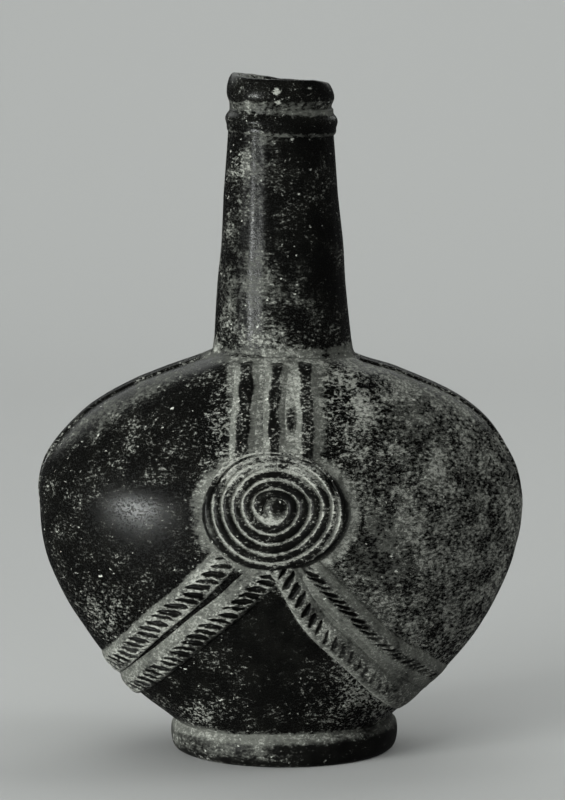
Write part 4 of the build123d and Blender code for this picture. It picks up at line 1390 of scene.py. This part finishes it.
class FLASK_OT_stage(Operator):
    """Set the paper sweep, the lamps and the camera."""
    bl_idname = "flask.stage"
    bl_label = "Stage"

    def execute(self, context):
        scene = context.scene
        finish = scene.flask_finish
        paper = bpy.data.materials.new("matt_studio_paper")
        paper.use_nodes = True
        shader = paper.node_tree.nodes["Principled BSDF"]
        shader.inputs["Base Color"].default_value = (*finish.floor, 1.0)
        shader.inputs["Roughness"].default_value = 0.9
        shader.inputs["Specular IOR Level"].default_value = 0.15
        # Only its upper side shows, so that the flask is seen from behind as well
        behind = add_node(paper.node_tree, "ShaderNodeNewGeometry").outputs["Backfacing"]
        clear = add_node(paper.node_tree, "ShaderNodeBsdfTransparent").outputs[0]
        one_sided = add_node(paper.node_tree, "ShaderNodeMixShader", {
            "Fac": behind, "Shader": shader.outputs[0], "Shader_001": clear})
        ending = paper.node_tree.nodes["Material Output"]
        paper.node_tree.links.new(one_sided.outputs[0], ending.inputs["Surface"])
        # The paper lies flat, bends up in a quarter circle and stands behind the flask
        front, radius, height, half_width = -5.0, 0.9, 3.2, 3.0
        bend = [(front, 0.0), (radius, 0.0)]
        bend += [(radius + radius * math.sin(angle), radius - radius * math.cos(angle))
                 for angle in np.linspace(0, math.pi / 2, 17)[1:]]
        bend += [(2 * radius, height)]
        places = [(x, y, z) for y, z in bend for x in (-half_width, half_width)]
        faces = [(2 * row, 2 * row + 1, 2 * row + 3, 2 * row + 2) for row in range(len(bend) - 1)]
        mesh = bpy.data.meshes.new("paper_sweep")
        mesh.from_pydata(places, [], faces)
        mesh.polygons.foreach_set("use_smooth", [True] * len(mesh.polygons))
        mesh.materials.append(paper)
        sweep = bpy.data.objects.new("paper_sweep", mesh)
        scene.collection.objects.link(sweep)
        sweep.visible_glossy = False

        world = bpy.data.worlds.new("dim_studio")
        world.use_nodes = True
        sky = world.node_tree.nodes["Background"]
        sky.inputs["Color"].default_value = (*linear("c4c6c6"), 1.0)
        sky.inputs["Strength"].default_value = 0.06
        scene.world = world

        # All but the window and the glow behind are seen in no reflection, as through a polariser
        for name, (spot, size, power, mirrored_in_clay) in LAMPS.items():
            lamp = bpy.data.lights.new(name, "AREA")
            lamp.shape = "RECTANGLE"
            lamp.size, lamp.size_y = size
            lamp.energy = power
            lamp.color = (0.965, 1.0, 0.975)
            light = bpy.data.objects.new(name, lamp)
            light.location = spot
            light.visible_glossy = mirrored_in_clay
            target = Vector((0.1, 1.05, 0)) if name == "paper_lamp" else Vector((0, 0, 0.1))
            light.rotation_euler = (target - Vector(spot)).to_track_quat("-Z", "Y").to_euler()
            scene.collection.objects.link(light)

        # A long lens above the mouth's level, aimed down at the flask's axis: how far away and how high
        # it stands, and how far below it the aim lies, in metres
        away, height, drop = 1.470, 0.320, 0.2028
        camera = bpy.data.objects.new("camera", bpy.data.cameras.new("camera"))
        camera.data.lens = 200.25
        camera.data.sensor_width = 36.0
        camera.data.sensor_fit = "AUTO"
        camera.location = (0.0, -away, height)
        # The small turn brings the axis into its place beside the frame's middle
        camera.rotation_euler = (math.pi / 2 - math.atan2(drop, away), 0.0, -2 / 4450)
        scene.collection.objects.link(camera)
        scene.camera = camera
        scene.view_settings.view_transform = "Standard"
        return {"FINISHED"}


STEPS = (FLASK_OT_body, FLASK_OT_foot, FLASK_OT_neck, FLASK_OT_mouth, FLASK_OT_seams,
         FLASK_OT_medallions, FLASK_OT_hangers, FLASK_OT_cords, FLASK_OT_stage)


class FLASK_PT_panel(Panel):
    """The flask's sizes, finish and steps."""
    bl_idname = "FLASK_PT_panel"
    bl_label = "Pilgrim flask"
    bl_space_type = "VIEW_3D"
    bl_region_type = "UI"
    bl_category = "Flask"

    def draw(self, context):
        layout = self.layout
        for group in (context.scene.flask_body, context.scene.flask_relief, context.scene.flask_finish):
            box = layout.box()
            for name in group.__annotations__:
                box.prop(group, name)
        for step in STEPS:
            layout.operator(step.bl_idname)


CLASSES = (FlaskBodySizes, FlaskReliefSizes, FlaskFinish) + STEPS + (FLASK_PT_panel,)


def register():
    """Make the flask's properties, steps and panel known."""
    for kind in CLASSES:
        bpy.utils.register_class(kind)
    bpy.types.Scene.flask_body = PointerProperty(type=FlaskBodySizes)
    bpy.types.Scene.flask_relief = PointerProperty(type=FlaskReliefSizes)
    bpy.types.Scene.flask_finish = PointerProperty(type=FlaskFinish)


def unregister():
    """Take them away again."""
    del bpy.types.Scene.flask_body, bpy.types.Scene.flask_relief, bpy.types.Scene.flask_finish
    for kind in reversed(CLASSES):
        bpy.utils.unregister_class(kind)


def main():
    """Build every piece and the stage."""
    register()
    for step in STEPS:
        name = step.bl_idname.split(".")[1]
        if getattr(bpy.ops.flask, name)() != {"FINISHED"}:
            raise RuntimeError(f"the step {name} did not finish")


if __name__ == "__main__":
    main()
